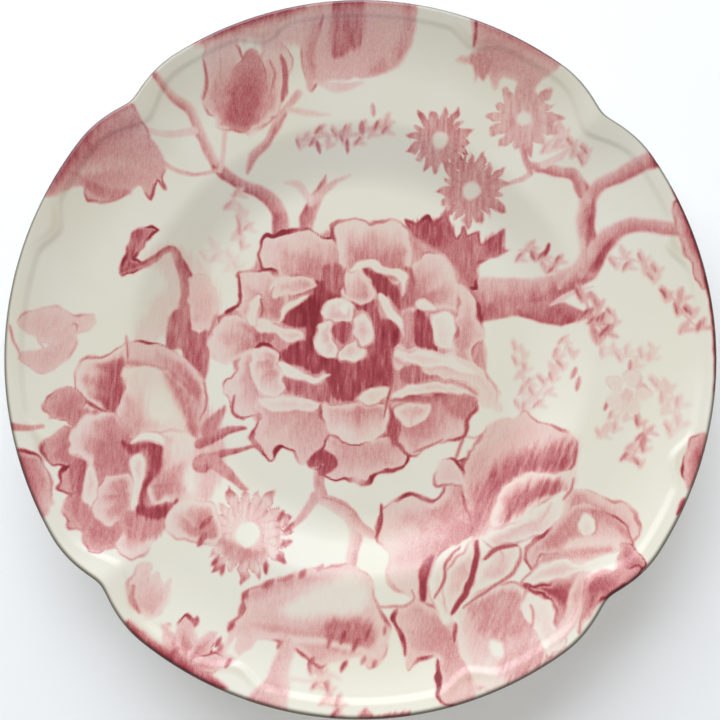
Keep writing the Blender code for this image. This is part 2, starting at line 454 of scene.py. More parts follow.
    def leaf(self, base, tip, half_width, pale, dark, teeth=0, rib=0.5):
        """A leaf with its rib and veins, and a toothed edge if it has teeth."""
        base, tip = np.array(base, float), np.array(tip, float)
        length = np.hypot(*(tip - base))
        ahead = (tip - base) / length
        near = self.near(np.array([base, tip]), half_width + 1.5)
        dx, dy = self.x[near] - base[0], self.y[near] - base[1]
        along = (dx * ahead[0] + dy * ahead[1]) / length
        across = dy * ahead[0] - dx * ahead[1]
        inner = np.clip(along, 0.0, 1.0)
        edge = half_width * np.sin(math.pi * inner**0.8) ** 0.75
        if teeth:
            edge *= 1.0 - TOOTH_DEPTH * ((inner * teeth) % 1.0)
        room = np.minimum(edge - np.abs(across), np.minimum(along, 1.0 - along) * length + 0.5)
        vein = np.abs(((along * length - np.abs(across) * 0.8) / VEIN_SPACING) % 1.0 - 0.5) * 2.0
        tone = pale + (dark - pale) * (0.45 * (across > 0.0) + 0.35 * vein**5)
        cover = smooth_step(room / SOFT + 0.5)
        self.lay(near, tone, cover)
        ribbed = smooth_step((0.3 - np.abs(across)) / SOFT + 0.5) * cover
        self.ink[near] = np.maximum(self.ink[near], rib * ribbed)
        self.ink_line(near, np.abs(room - 0.3), dark, 0.2)

    def sprig(self, points, size, tone):
        """A faint stem hung with small soft blossoms, some with a dark fleck."""
        path = flow(points)
        self.line(points, tone * 0.9, 0.5)
        lengths = np.hypot(*np.diff(path, axis=0).T)
        along = np.concatenate([[0.0], np.cumsum(lengths)])
        for count, at in enumerate(np.arange(0.5, along[-1] + 0.5 * size, size * 0.55)):
            x, y = np.interp(at, along, path[:, 0]), np.interp(at, along, path[:, 1])
            i = min(np.searchsorted(along, at), len(lengths) - 1)
            ahead = math.atan2(*(path[i + 1] - path[i])[::-1])
            side = ahead + math.radians(90.0 if count % 2 else -90.0)
            off = size * (0.3 + 0.2 * math.sin(count * 2.3 + x))
            x += off * math.cos(side)
            y += off * math.sin(side)
            lean = 80.0 + 40.0 * math.sin(count * 1.9 + y)
            self.dab(x, y, size * 0.85, size * 0.42, lean, tone, 2.0)
            self.dab(x + 0.3 * size, y - 0.2 * size, size * 0.6, size * 0.3, lean - 60.0, tone * 0.8, 2.0)
            if count % 3 != 1:
                self.dab(x - 0.1 * size, y, size * 0.6, 0.8, lean + 12.0, min(1.9 * tone, 0.8), 1.4)


def draw_branches(ink):
    for shape in (
        ([(-79, 98), (-72, 90), (-66, 86), (-62, 78), (-58, 70), (-53, 63)], (2.5, 4, 4, 4), 0.36, -0.2,
         1.5),
        ([(-55, 65), (-47, 60), (-40, 58), (-35, 55), (-32, 50), (-31, 42)], (4, 4.5, 5.5, 6.5), 0.52, -0.18,
         1.5),
        ([(-75, 66), (-70, 63), (-64, 62), (-54, 64)], (1.5, 1.5), 0.3),
        ([(-82, 77), (-74, 76), (-64, 78)], (2, 3), 0.17),
        ([(-53, 80), (-53, 72), (-54, 64)], (2, 1.5), 0.2),
        ([(-32, 86), (-37, 76), (-42, 70), (-44, 64)], (4, 3, 3.5, 1), 0.42, 0.15, 1.5),
        ([(-26, 94), (-30, 89), (-34, 84)], (3, 2.5, 2), 0.3, 0.0, 1.5),
        ([(-22, 43), (-21, 50), (-18, 57), (-15, 65)], (6, 5.5, 4, 0.5), 0.5, 0.2, 1.5),
        ([(-20, 55), (-14, 61), (-6, 66)], (3.5, 3, 0.5), 0.26, 0.0, 1.5),
        ([(-21, 56), (-25, 61), (-31, 62)], (3, 3, 0.5), 0.18, 0.0, 1.5),
        ([(-30, 88), (-22, 87), (-14, 87)], (2, 2.5, 0.5), 0.18, 0.0, 2.0),
        # The bough to the right of the middle flower, and its forks.
        ([(36, 18), (48, 20), (60, 21.5), (72, 25), (82, 31), (84, 38)], (16, 16, 13, 8, 8, 7), 0.46, -0.2,
         2.0),
        ([(46, 13), (56, 15), (64, 17), (72, 22), (80, 26), (87, 33)], (2, 3.5, 5, 4, 4, 1), 0.6, 0.0, 2.0),
        ([(60, 16), (66, 15), (74, 14), (81, 13)], (5, 8, 9, 2), 0.62, -0.12, 1.5),
        ([(70, 17.5), (77, 21), (84, 24)], (1, 1.5, 0.5), 0.2),
        ([(74, 24), (80, 30), (83, 37), (81, 46), (82, 56), (79, 62)], (4, 7, 8, 6, 6, 4), 0.44, -0.24, 2.0),
        ([(82, 54), (86, 61), (94, 65), (105, 70)], (4, 5, 5.5, 7), 0.46, -0.18, 2.0),
        ([(80, 58), (77, 65), (69, 67), (61, 69)], (3, 4.5, 4, 3), 0.46, 0.14, 1.5),
        ([(83, 35), (82.5, 42), (84, 50), (84, 56)], (1, 2.4, 2.2, 0.8), 0.68, 0.0, 1.4),
        ([(62, 67), (58, 64), (52, 62), (47, 60)], (2, 2, 1.5, 0.5), 0.3),
        ([(56, 81), (58, 75), (61, 66)], (2.5, 2.5, 2), 0.42, 0.1),
        ([(66, 69), (72, 72), (76, 76)], (3, 2.5, 0.5), 0.18),
        ([(82, 30), (88, 40), (95, 45.5), (103, 46), (114, 43)], (8, 7.5, 6, 5, 4.5), 0.44, -0.14, 2.0),
        ([(84, 30), (87, 35), (91, 41)], (2, 3, 1), 0.7, 0.0, 1.5),
    ):
        ink.stroke(*shape)
    ink.line([(84, 32), (88, 37), (90, 41)], 0.62, 0.9)
    # The stalk below the middle flower.
    ink.stroke([(-13, -42), (-14, -50), (-12, -56)], (5, 4, 4), 0.4, 0.1)
    ink.stroke(
        [(-15, -56), (-9, -57), (-3, -61), (0, -67), (-1, -74), (-2, -81)], (3, 5, 5, 5, 4.5, 4), 0.27, 0.14
    )
    ink.line([(-13, -55), (-7, -56.5), (-1, -60), (2.5, -66)], 0.5, 0.7)
    ink.stroke([(-1, -63), (4, -67), (9, -69)], (4, 3.5, 2), 0.3, 0.12)
    ink.stroke([(-15, -55), (-18, -60), (-23, -66)], (4, 3, 2), 0.34)


def draw_top_left(ink):
    # The leaf that hangs over the notch, its tip cut into teeth.
    ink.petal(
        [(-88, 85), (-84, 81), (-81, 76), (-77, 71), (-74, 65), (-75, 60), (-74, 56), (-77, 59), (-79, 52),
        (-83, 57), (-88, 53), (-94, 50), (-101, 50), (-103, 55), (-112, 50), (-116, 52), (-110, 68),
        (-100, 78)], (-104, 66), 0.36, 0.46, 0.42, 0.5, 1.0, 0.3, 3
    )
    ink.stroke([(-112, 58), (-105, 68), (-96, 75), (-85, 79)], (6, 9, 9, 4), 0.48, -0.08, 4.0)
    ink.stroke([(-106, 57), (-100, 61), (-92, 64), (-82, 62)], (1, 4, 5, 2), 0.34, 0.0, 3.0)
    ink.stroke([(-106, 60), (-101, 55), (-94, 53), (-87, 54)], (1, 3, 4, 2), 0.52, 0.0, 2.0)
    ink.line([(-86, 82), (-81, 77), (-80, 70)], 0.5, 0.9)
    # A bell-shaped bloom, its petals folded round a deep middle.
    ink.petal(
        [(-61, 104), (-60, 97), (-61, 90), (-57, 83), (-52, 79), (-47, 84), (-45, 100), (-50, 110),
        (-58, 112)], (-50, 86), 0.18, 0.46, 0.35, 0.5, 1.1
    )
    ink.petal(
        [(-29, 108), (-31, 98), (-32, 90), (-37, 83), (-44, 79), (-46, 90), (-41, 104), (-36, 112)],
        (-44, 88), 0.16, 0.42, 0.35, 0.5, 1.1
    )
    ink.petal(
        [(-54, 82), (-46, 79), (-40, 85), (-38, 96), (-40, 106), (-44, 108), (-52, 97)], (-48, 86), 0.48,
        0.66, 0.35, 0.4, 1.2, 0.9
    )
    for points, tone, width in (
        ([(-61, 104), (-60, 97), (-61, 90)], 0.6, 0.9),
        ([(-55, 106), (-55, 97), (-52, 90)], 0.42, 0.7),
        ([(-42, 108), (-39, 103), (-38, 98)], 0.55, 0.8),
        ([(-37, 106), (-35, 100), (-37, 92)], 0.5, 1.0),
        ([(-33, 108), (-31, 101), (-32, 91)], 0.62, 1.5),
        ([(-25, 111), (-24, 104), (-22, 98)], 0.6, 1.0),
        ([(-19, 128), (-18.5, 121)], 0.72, 1.0),
    ):
        ink.line(points, tone, width)
    # Petals that the edge of the plate cuts off.
    ink.patch(
        [(-66, 110), (-56, 108), (-44, 112), (-36, 108), (-30, 112), (-20, 110), (-20, 132), (-60, 126)],
        0.28, 4.0
    )
    ink.stroke([(-64, 111), (-50, 117), (-36, 122), (-20, 128)], (3, 6, 7, 4), 0.56, 0.0, 4.0)
    ink.petal(
        [(-25, 112), (-24, 103), (-22, 96), (-17, 101), (-14, 108), (-14, 128), (-22, 128)], (-20, 110), 0.3,
        0.46, 0.4, 0.4, 1.0
    )
    ink.petal(
        [(-20, 102), (-12, 100), (-2, 101), (6, 103), (11, 108), (15, 115), (15, 130), (-14, 130)],
        (-8, 122), 0.3, 0.36, 0.3, 0.5, 1.0
    )
    ink.stroke([(14, 126), (14, 117), (9, 108), (0, 103)], (4, 5, 6, 2), 0.4, 0.0, 3.0)
    ink.patch([(-14, 109), (-8, 110), (-3, 114), (-3, 130), (-13, 130)], 0.6, 2.0)
    ink.stroke([(-20, 99), (-12, 97), (-2, 99)], (1, 4, 1), 0.22, 0.0, 2.0)


def draw_centre_flower(ink):
    # A base tone, then the outer petals, each darkest where it comes out from under the next.
    ink.patch(
        [(-37, 36), (-20, 42), (0, 46), (16, 44), (34, 32), (44, 10), (46, -10), (36, -26), (14, -42),
        (-10, -44), (-34, -32), (-46, -10), (-48, 10)], 0.42, 2.0
    )
    for shape in (
        ([(-39, 32), (-38, 40), (-33, 42), (-27, 44), (-20, 44), (-13, 41), (-6, 42), (-4, 30), (-10, 18),
         (-24, 20), (-34, 27)], (-14, 14), 0.14, 0.52, 0.6, 0.5, 1.15),
        ([(-12, 42), (-10, 47), (-4, 49), (2, 47), (8, 49), (15, 47), (18, 42), (18, 32), (14, 24), (2, 26),
         (-6, 28)], (4, 20), 0.12, 0.56, 0.4, 0.5, 1.15),
        ([(19, 33), (25, 37), (31, 35), (34, 31), (35, 25), (41, 22), (40, 14), (28, 15), (15, 14),
         (16, 25)], (12, 14), 0.14, 0.6, 0.35, 0.5, 1.1),
        ([(36, 24), (42, 20), (43, 12), (46, 5), (42, 2), (41, -5), (34, -6), (34, 6), (36, 14)], (26, 4),
         0.16, 0.42, 0.35, 0.5),
        ([(-46, 26), (-41, 28), (-34, 28), (-28, 20), (-28, 10), (-40, 8), (-50, 12), (-45, 16)], (-26, 10),
         0.16, 0.52, 0.7, 0.5),
        ([(-54, 8), (-50, 12), (-42, 10), (-36, 6), (-36, -2), (-44, -5), (-50, -7), (-56, -2)], (-32, 0),
         0.14, 0.48, 0.35, 0.5),
        ([(-44, -4), (-45, -10), (-50, -15), (-48, -20), (-46, -25), (-41, -27), (-35, -22), (-34, -10),
         (-38, -2)], (-30, -8), 0.14, 0.44, 0.65, 0.5),
        ([(-38, -22), (-36, -28), (-39, -35), (-35, -39), (-32, -42), (-28, -37), (-24, -39), (-20, -43),
         (-14, -45), (-4, -36), (-8, -22), (-26, -19)], (-14, -14), 0.2, 0.42, 0.6, 0.55, 1.1),
        ([(-14, -44), (-9, -49), (-2, -48), (3, -50), (6, -46), (12, -45), (17, -43), (18, -38), (14, -32),
         (2, -34), (-10, -32)], (2, -24), 0.2, 0.4, 0.6, 0.55, 1.1),
        ([(17, -38), (22, -39), (26, -36), (32, -33), (38, -32), (40, -26), (43, -19), (34, -17), (20, -18),
         (11, -22), (13, -32)], (14, -16), 0.22, 0.56, 0.55, 0.5, 1.2),
        # Long pale petals that fan out to the right.
        ([(10, 0), (20, 1), (32, -1), (42, -5), (49, -12), (52, -22), (46, -20), (42, -14), (30, -10),
         (14, -8)], (4, -6), 0.12, 0.34, 0.25, 0.5, 1.0),
        ([(11, -2), (22, -1), (34, -3), (44, -9), (34, -7), (22, -6)], (6, -4), 0.04, 0.2, 0.15),
    ):
        ink.petal(*shape)
    ink.line([(46, -8), (50, -13), (50, -19)], 0.35, 0.5)
    ink.stroke([(12, -19), (24, -18), (34, -19), (42, -20)], (2, 4, 5, 2), 0.62, 0.1, 1.5)
    ink.petal(
        [(11, -19), (13, -16), (20, -13), (28, -12), (36, -13), (43, -17), (34, -16), (24, -17), (16, -18)],
        (30, -20), 0.04, 0.22, 0.3
    )
    for shape in (
        ([(34, -17), (42, -18), (40, -25), (32, -23)], 0.52, 3.0),
        ([(18, -6), (22, -6.5), (24, -9), (30, -10.5), (24, -11.5), (17, -13), (14, -9)], 0.6, 1.5),
        # The heart, deepest on the left.
        ([(-29, 9), (-26, 15), (-20, 18), (-17, 25), (-10, 23), (-8, 19), (-13, 15), (-14, 9), (-17, 5),
         (-17, -1), (-20, 2), (-21, 7), (-25, 7)], 0.86, 1.5),
        ([(-22, 16), (-17, 18), (-16, 4), (-18, -2), (-20, 4)], 1.0, 2.0),
        ([(-29, -3), (-26, 0), (-20, 2), (-15, -2), (-9, -5), (-13, -9), (-17, -10), (-22, -7.5), (-27, -7)],
         0.82, 1.5),
        ([(-12, -6), (-4, -5), (2, -4), (3, 1), (10, 3), (12, -5), (11, -15), (5, -15), (0, -19), (-6, -20),
         (-11, -17)], 0.76, 1.5),
        ([(0, 30), (6, 28), (11, 25), (14.5, 20), (14, 15), (10, 19), (6, 21), (3, 26)], 0.8, 1.5),
        ([(-5, 18), (0, 20), (4, 19), (7, 12), (10, 11), (15, 8), (14, 2), (6, -1), (4, 6), (2, 13),
         (-2, 14)], 0.76, 1.5),
        ([(8, 10), (14, 9), (13, 3), (8, 4)], 0.85, 2.0),
        ([(-15, 30), (-7, 30), (-6, 20), (-13, 21)], 0.62, 2.0),
        ([(-28, -12), (-20, -13), (-12, -14), (-10, -19), (-16, -21), (-26, -17), (-31, -13)], 0.6, 2.0),
        ([(10, -21), (14, -25), (15, -31), (13, -36), (10, -30)], 0.68, 2.0),
        ([(20, 14), (24, 12.5), (27, 7), (27, 2), (32, 0.5), (26, 0), (20, 2)], 0.78, 1.5),
        ([(15, 30), (19, 28), (18, 18), (14, 15)], 0.6, 2.0),
        ([(15, 13), (19, 13), (19, 1), (15, 2)], 0.42, 2.0),
    ):
        ink.patch(*shape)
    # Lighter petals standing in the heart, and the turned-up edges of others.
    for shape in (
        ([(-7, 20), (-6, 27), (-1, 31), (2, 26), (5, 20), (0, 16)], (4, 14), 0.12, 0.42, 0.35, 0.4),
        ([(-5, 28), (-2, 32.5), (4, 34), (8, 31), (14, 30), (17, 27), (15, 20), (13, 26), (7, 28),
         (2, 30.5)], (6, 24), 0.03, 0.16, 0.45, 0.35, 1.0, 0.4),
        ([(-34, 22), (-30, 26), (-22, 27), (-17, 24), (-21, 20), (-28, 19), (-32, 17)], (-18, 18), 0.12,
         0.42, 0.4),
        ([(-31, 8), (-29, 15), (-23, 19), (-19, 20), (-22, 17), (-27, 13)], (-24, 10), 0.03, 0.14, 0.3, 0.35,
         1.0, 0.4),
        ([(-40, 8), (-36, 10), (-30, 7), (-22, 6), (-21, 2.5), (-27, 1.5), (-33, 5), (-38, 4.5)], (-22, 4),
         0.08, 0.28, 0.35, 0.4, 1.0, 0.5),
    ):
        ink.petal(*shape)
    ink.patch([(-39, 4), (-34, 4), (-32.5, 2), (-37, 0.5)], 0.58, 1.2)
    for shape in (
        ([(-42, 8), (-42, 15), (-39, 19), (-37.5, 17), (-39, 11), (-39, 7)], (-36, 8), 0.06, 0.2, 0.5, 0.4,
         1.0, 0.4),
        ([(-40, -2), (-40, -9), (-37.5, -18), (-33, -20), (-28, -17), (-29, -8), (-30, -2), (-35, 0)],
         (-26, -6), 0.08, 0.46, 0.7, 0.5, 1.1),
        ([(-30, -6), (-28, -11), (-21, -12.5), (-16, -14), (-11, -10.5), (-16, -11), (-23, -9)], (-20, -6),
         0.03, 0.15, 0.3, 0.35, 1.0, 0.4),
        ([(-37, -21), (-30, -19), (-22, -18.5), (-14, -21), (-16, -24), (-24, -24), (-32, -24.5)],
         (-24, -30), 0.08, 0.22, 0.4, 0.4, 1.0, 0.5),
        ([(-14, -21), (-13, -28), (-9, -33), (0, -35.5), (8, -33), (11, -27), (10, -21), (2, -20),
         (-6, -21)], (0, -16), 0.12, 0.5, 0.5, 0.45, 1.2),
        ([(-1, -19), (3, -15), (10, -14.5), (10, -18), (4, -21)], (8, -22), 0.06, 0.2, 0.35, 0.35, 1.0, 0.4),
        ([(13, -23), (18, -20.5), (26, -20), (24, -26), (18, -29), (15, -27)], (22, -16), 0.1, 0.35, 0.3,
         0.35, 1.0, 0.5),
        ([(26, 13), (33, 14), (35.5, 8), (34, 0), (29, 0), (27, 6)], (24, 4), 0.02, 0.14, 0.5, 0.5, 1.0,
         0.5),
        ([(20, 17), (23, 19), (28, 16), (25, 14.5), (21, 15)], (24, 12), 0.04, 0.15, 0.25, 0.3, 1.0, 0.3),
        ([(6, 19), (8, 20.5), (12, 14), (15, 11), (16, 4), (13, 9), (9, 12)], (12, 18), 0.03, 0.15, 0.25,
         0.3, 1.0, 0.3),
        # The pale crown in the middle.
        ([(-15, 13), (-12, 17), (-7, 19), (-3, 15), (-3, 10), (-8, 9), (-13, 9)], (-8, 8), 0.04, 0.3, 0.35),
        ([(-14, 10), (-10, 9), (-10, 2), (-7, -3), (-12, -4), (-17, 0), (-17, 5)], (-9, 4), 0.05, 0.3, 0.3),
        ([(-8, -4), (-7, 0), (-2, 2), (2, -1), (0, -5), (-4, -6)], (-5, 3), 0.05, 0.3, 0.3),
        ([(-2, 4), (-3, 11), (1, 13), (4, 9), (5, 3), (1, 0)], (-4, 5), 0.06, 0.3, 0.3),
    ):
        ink.petal(*shape)
    ink.patch([(-11, 6), (-8, 9.5), (-3.5, 8), (-5, 2), (-8, 2)], 0.72, 1.3)
    ink.patch([(-9, 15), (-5, 16), (-6, 12)], 0.0, 2.0)
    # Engraved folds.
    for points, tone, width in (
        ([(-46, 26), (-45.5, 20), (-45, 15)], 0.85, 0.8),
        ([(-38, 17), (-37, 13), (-37.5, 10)], 0.7, 0.8),
        ([(-33, 22), (-34, 18), (-31, 14)], 0.55, 0.5),
        ([(-15, 30), (-14, 24), (-12, 19)], 0.75, 0.6),
        ([(-6, 30), (-7, 25), (-6, 20)], 0.7, 0.5),
        ([(11, -6), (12, -12), (10, -20), (9, -26)], 0.82, 0.6),
        ([(16, 10), (16.5, 6), (15, 2)], 0.55, 0.5),
        ([(-12, -34), (-3, -38), (4, -39), (11, -36)], 0.42, 0.7),
        ([(43, -18), (42, -22), (39, -26), (39, -31)], 0.75, 0.7),
        ([(21, -21), (19.5, -24), (19, -28)], 0.45, 0.4),
        ([(20, -38), (25, -36), (31, -33)], 0.6, 0.7),
        ([(-12, 47), (-12, 43)], 0.7, 0.7),
    ):
        ink.line(points, tone, width)


def draw_fringe(ink):
    """The jagged dark leaf behind the middle flower."""
    teeth = [
        (16, 49), (20, 47), (24, 51), (25.5, 46), (28, 49), (31, 51), (33, 45), (35, 42), (37.5, 47),
        (38.5, 43), (43, 45), (43.5, 40), (48, 42), (52.5, 46), (52, 40), (55, 38), (50, 36),
    ]
    ink.petal(
        [*teeth, (43, 33), (42, 24), (36, 25), (34, 33), (26, 38), (18, 34), (18, 42)], (26, 30), 0.56, 0.6,
        0.6, 0.5, 1.2, 0.4, 2
    )
    ink.patch([(17, 47), (24, 49), (33, 47), (32, 41), (24, 38), (19, 34), (18, 40)], 0.72, 3.5)
    ink.patch([(44, 40), (51, 45), (52, 39), (48, 37)], 0.72, 3.5)
    ink.patch([(34, 40), (42, 42), (46, 38), (40, 30), (36, 30)], 0.56, 3.5)
    ink.stroke([(43, 17), (43, 13), (44, 9)], (2, 3.5, 1), 0.85, 0.0, 1.5)


def draw_hooked_leaf(ink):
    ink.patch(
        [(-80, 30), (-72, 36), (-60, 30), (-53, 18), (-54, 6), (-66, 4), (-82, -2), (-78, 12), (-72, 22)],
        0.12, 4.0
    )
    ink.petal(
        [(-88, 23), (-86, 32), (-84, 40), (-76, 41), (-80, 36), (-84, 29), (-76, 30), (-73, 34), (-78, 28)],
        (-86, 26), 0.5, 0.75, 0.7, 0.4
    )
    ink.patch([(-86, 28), (-85, 39), (-78, 40), (-82, 36)], 0.68, 1.2)
    ink.stroke(
        [(-88, 24), (-82, 27), (-76, 31), (-71, 34), (-68, 30), (-65, 22), (-65, 12), (-67, 2)],
        (1.5, 1.5, 2, 2.5, 4, 5, 6, 7), 0.6, 0.15
    )
    ink.petal([(-64, 24), (-58, 25), (-54, 18), (-54, 8), (-62, 6), (-64, 14)], (-62, 10), 0.18, 0.3, 0.15)
    ink.patch(
        [(-71, 9), (-66, 12), (-63, 5), (-57, 5), (-54, 11), (-55, -2), (-56, -11), (-59, -17), (-64, -10),
        (-66, -3), (-71, -3)], 0.6, 1.5
    )


def draw_left_flower(ink):
    # The outer petals make one deep scalloped fringe.
    for x, y, size, tone in (
        (-104, -25, 6.5, 0.5),
        (-103, -40, 7.0, 0.52),
        (-97, -51, 6.5, 0.6),
        (-94, -61, 7.5, 0.6),
        (-87, -69, 7.0, 0.55),
    ):
        ink.petal(round_petal(x, y, size, 9), (-80, -46), 0.4, tone + 0.06, 0.6, 0.4, 1.5, 1.2)
    ink.patch(
        [(-102, -30), (-90, -26), (-70, -30), (-64, -60), (-76, -70), (-92, -68), (-98, -58)], 0.52, 3.0
    )
    ink.patch([(-100, -46), (-96, -44), (-94, -54), (-98, -56)], 0.66, 2.0)
    # The folded petal at the upper left, and the broad one that arches over the flower.
    ink.petal(
        [(-101, -12), (-99, -8), (-93, -7), (-87, -4), (-84, -1), (-84, -14), (-86, -27), (-92, -26),
        (-98, -23), (-101, -18)], (-80, -22), 0.1, 0.7, 0.55, 0.5, 1.3
    )
    ink.patch([(-90, -13), (-86, -8), (-84.5, -16), (-86, -27), (-91, -24)], 0.66, 3.5)
    ink.petal(
        [(-84, -2), (-78, -1), (-70, -3), (-62, -8), (-57, -15), (-57, -26), (-58, -36), (-66, -30),
        (-70, -16), (-84, -10)], (-62, -24), 0.2, 0.6, 0.55, 0.45, 1.1
    )
    ink.stroke([(-84, -8.5), (-78, -9.5), (-70, -11), (-64, -15)], (1.5, 3, 3, 2), 0.46, -0.12, 2.0)
    ink.petal(
        [(-85, -11), (-77, -10), (-70, -12), (-63, -18), (-59, -27), (-60, -36), (-72, -34), (-84, -36),
        (-87, -31), (-85, -22)], (-90, -38), 0.08, 0.5, 0.3, 0.4, 0.8
    )
    ink.stroke([(-71, -12), (-65, -19), (-60, -27), (-58, -37)], (1, 6, 7, 3), 0.52, -0.14, 4.0)
    ink.stroke([(-83, -22), (-82, -30), (-78, -35), (-70, -35)], (2, 4, 4, 2), 0.36, 0.0, 4.0)
    # A soft near-bare patch in the broad petal: a painted highlight where the light glances off it.
    ink.patch([(-76, -18), (-70, -18), (-66, -26), (-70, -31), (-76, -28)], 0.03, 6.0)
    # The pale petals on the left, over the fringe.
    ink.petal(
        [(-101, -34), (-98, -29), (-91, -27), (-85, -29), (-83, -40), (-85, -50), (-90, -56), (-95, -52),
        (-95, -45), (-101, -42)], (-78, -44), 0.12, 0.56, 0.3, 0.4, 1.5
    )
    ink.stroke([(-88, -30), (-84, -38), (-85, -47), (-90, -54)], (3, 8, 7, 2), 0.5, 0.0, 4.0)
    ink.petal(
        [(-90, -52), (-86, -49), (-80, -50), (-79, -58), (-81, -65), (-87, -67), (-92, -61)], (-78, -56),
        0.16, 0.5, 0.35, 0.4, 1.3
    )
    ink.petal([(-95, -47), (-92, -49), (-91, -56), (-93, -61), (-96, -56)], (-90, -50), 0.08, 0.26, 0.3, 0.3)
    ink.petal(
        [(-82, -70), (-82, -75), (-77, -78), (-73, -76), (-70, -70), (-74, -66), (-80, -66)], (-76, -60),
        0.12, 0.45, 0.55, 0.5, 1.4
    )
    ink.patch([(-82, -62), (-70, -62), (-66, -67), (-72, -71), (-82, -69)], 0.46, 3.0)
    # The cup: a pale petal on the right, and the white crest over the deep middle.
    ink.petal(
        [(-73, -36), (-64, -33), (-57, -37), (-53, -44), (-52, -53), (-57, -60), (-66, -58), (-73, -58)],
        (-78, -56), 0.08, 0.56, 0.2, 0.4, 1.1
    )
    # A soft bare patch in the pale petal: a painted highlight.
    ink.patch([(-61, -44), (-58, -46), (-57, -54), (-61, -54)], 0.02, 5.0)
    ink.petal(
        [(-81, -44), (-77, -41), (-75, -46), (-76, -54), (-77, -61), (-80, -60), (-79, -52)], (-70, -50),
        0.03, 0.24, 0.3, 0.35, 1.0, 0.4
    )
    ink.stroke(
        [(-84, -38), (-80, -40), (-76, -38.5), (-72.5, -40), (-72, -46), (-75, -54), (-76, -61)],
        (1, 3, 2, 5, 4, 1.5, 1.5), 0.86, 0.0, 2.0
    )
    ink.petal(
        [(-81, -38), (-77, -34), (-71, -34), (-69, -39), (-73, -37), (-77, -37)], (-76, -42), 0.0, 0.15,
        0.25, 0.3, 1.0, 0.4
    )
    ink.patch([(-77, -60), (-70, -60), (-63, -57), (-65, -62), (-70, -64), (-76, -63)], 0.82, 2.0)
    ink.petal(
        [(-67, -64), (-63, -58), (-56, -57), (-50, -60), (-48, -70), (-56, -72), (-65, -69)], (-52, -70),
        0.1, 0.5, 0.4, 0.4, 1.3
    )
    ink.dab(-53, -65, 5, 2.2, 50, 0.72)
    ink.dab(-54, -71, 5, 2.0, 60, 0.72)
    # Its own leaves, pointing at the middle of the plate.
    ink.patch([(-58, -22), (-52, -28), (-48, -40), (-50, -50), (-55, -58), (-58, -40)], 0.26, 4.0)
    ink.patch([(-58, -32), (-54, -27), (-49, -23), (-50, -29), (-53, -36)], 0.52, 1.5)
    ink.stroke([(-57, -37), (-52, -34), (-47, -31.5), (-41, -31)], (4, 3.5, 3, 1), 0.6, -0.1)
    ink.stroke([(-56, -44), (-50, -40.5), (-44, -39), (-37, -37)], (7, 3, 2, 1), 0.6, -0.1)
    ink.stroke([(-52, -43), (-46, -48), (-40, -53)], (5, 3.5, 1.5), 0.46)
    for shape in (
        ([(-46, -19), (-46, -25), (-42, -28)], 0.75, 0.8),
        ([(-85, 1), (-84.5, -4), (-84, -9)], 0.6, 0.6),
        ([(-84, -15), (-86, -24), (-87, -31), (-84, -36)], 0.4, 0.6),
        ([(-57, -14), (-56, -21), (-58, -29)], 0.6, 0.7),
    ):
        ink.line(*shape)


def round_petal(x, y, size, lobes=7):
    """The outline of a small, slightly uneven round petal."""
    turns = np.arange(lobes) * 2.0 * math.pi / lobes
    sizes = size * (1.0 + 0.08 * np.cos(3.0 * turns + x))
    return [(x + r * math.cos(t), y + r * math.sin(t)) for t, r in zip(turns, sizes, strict=True)]


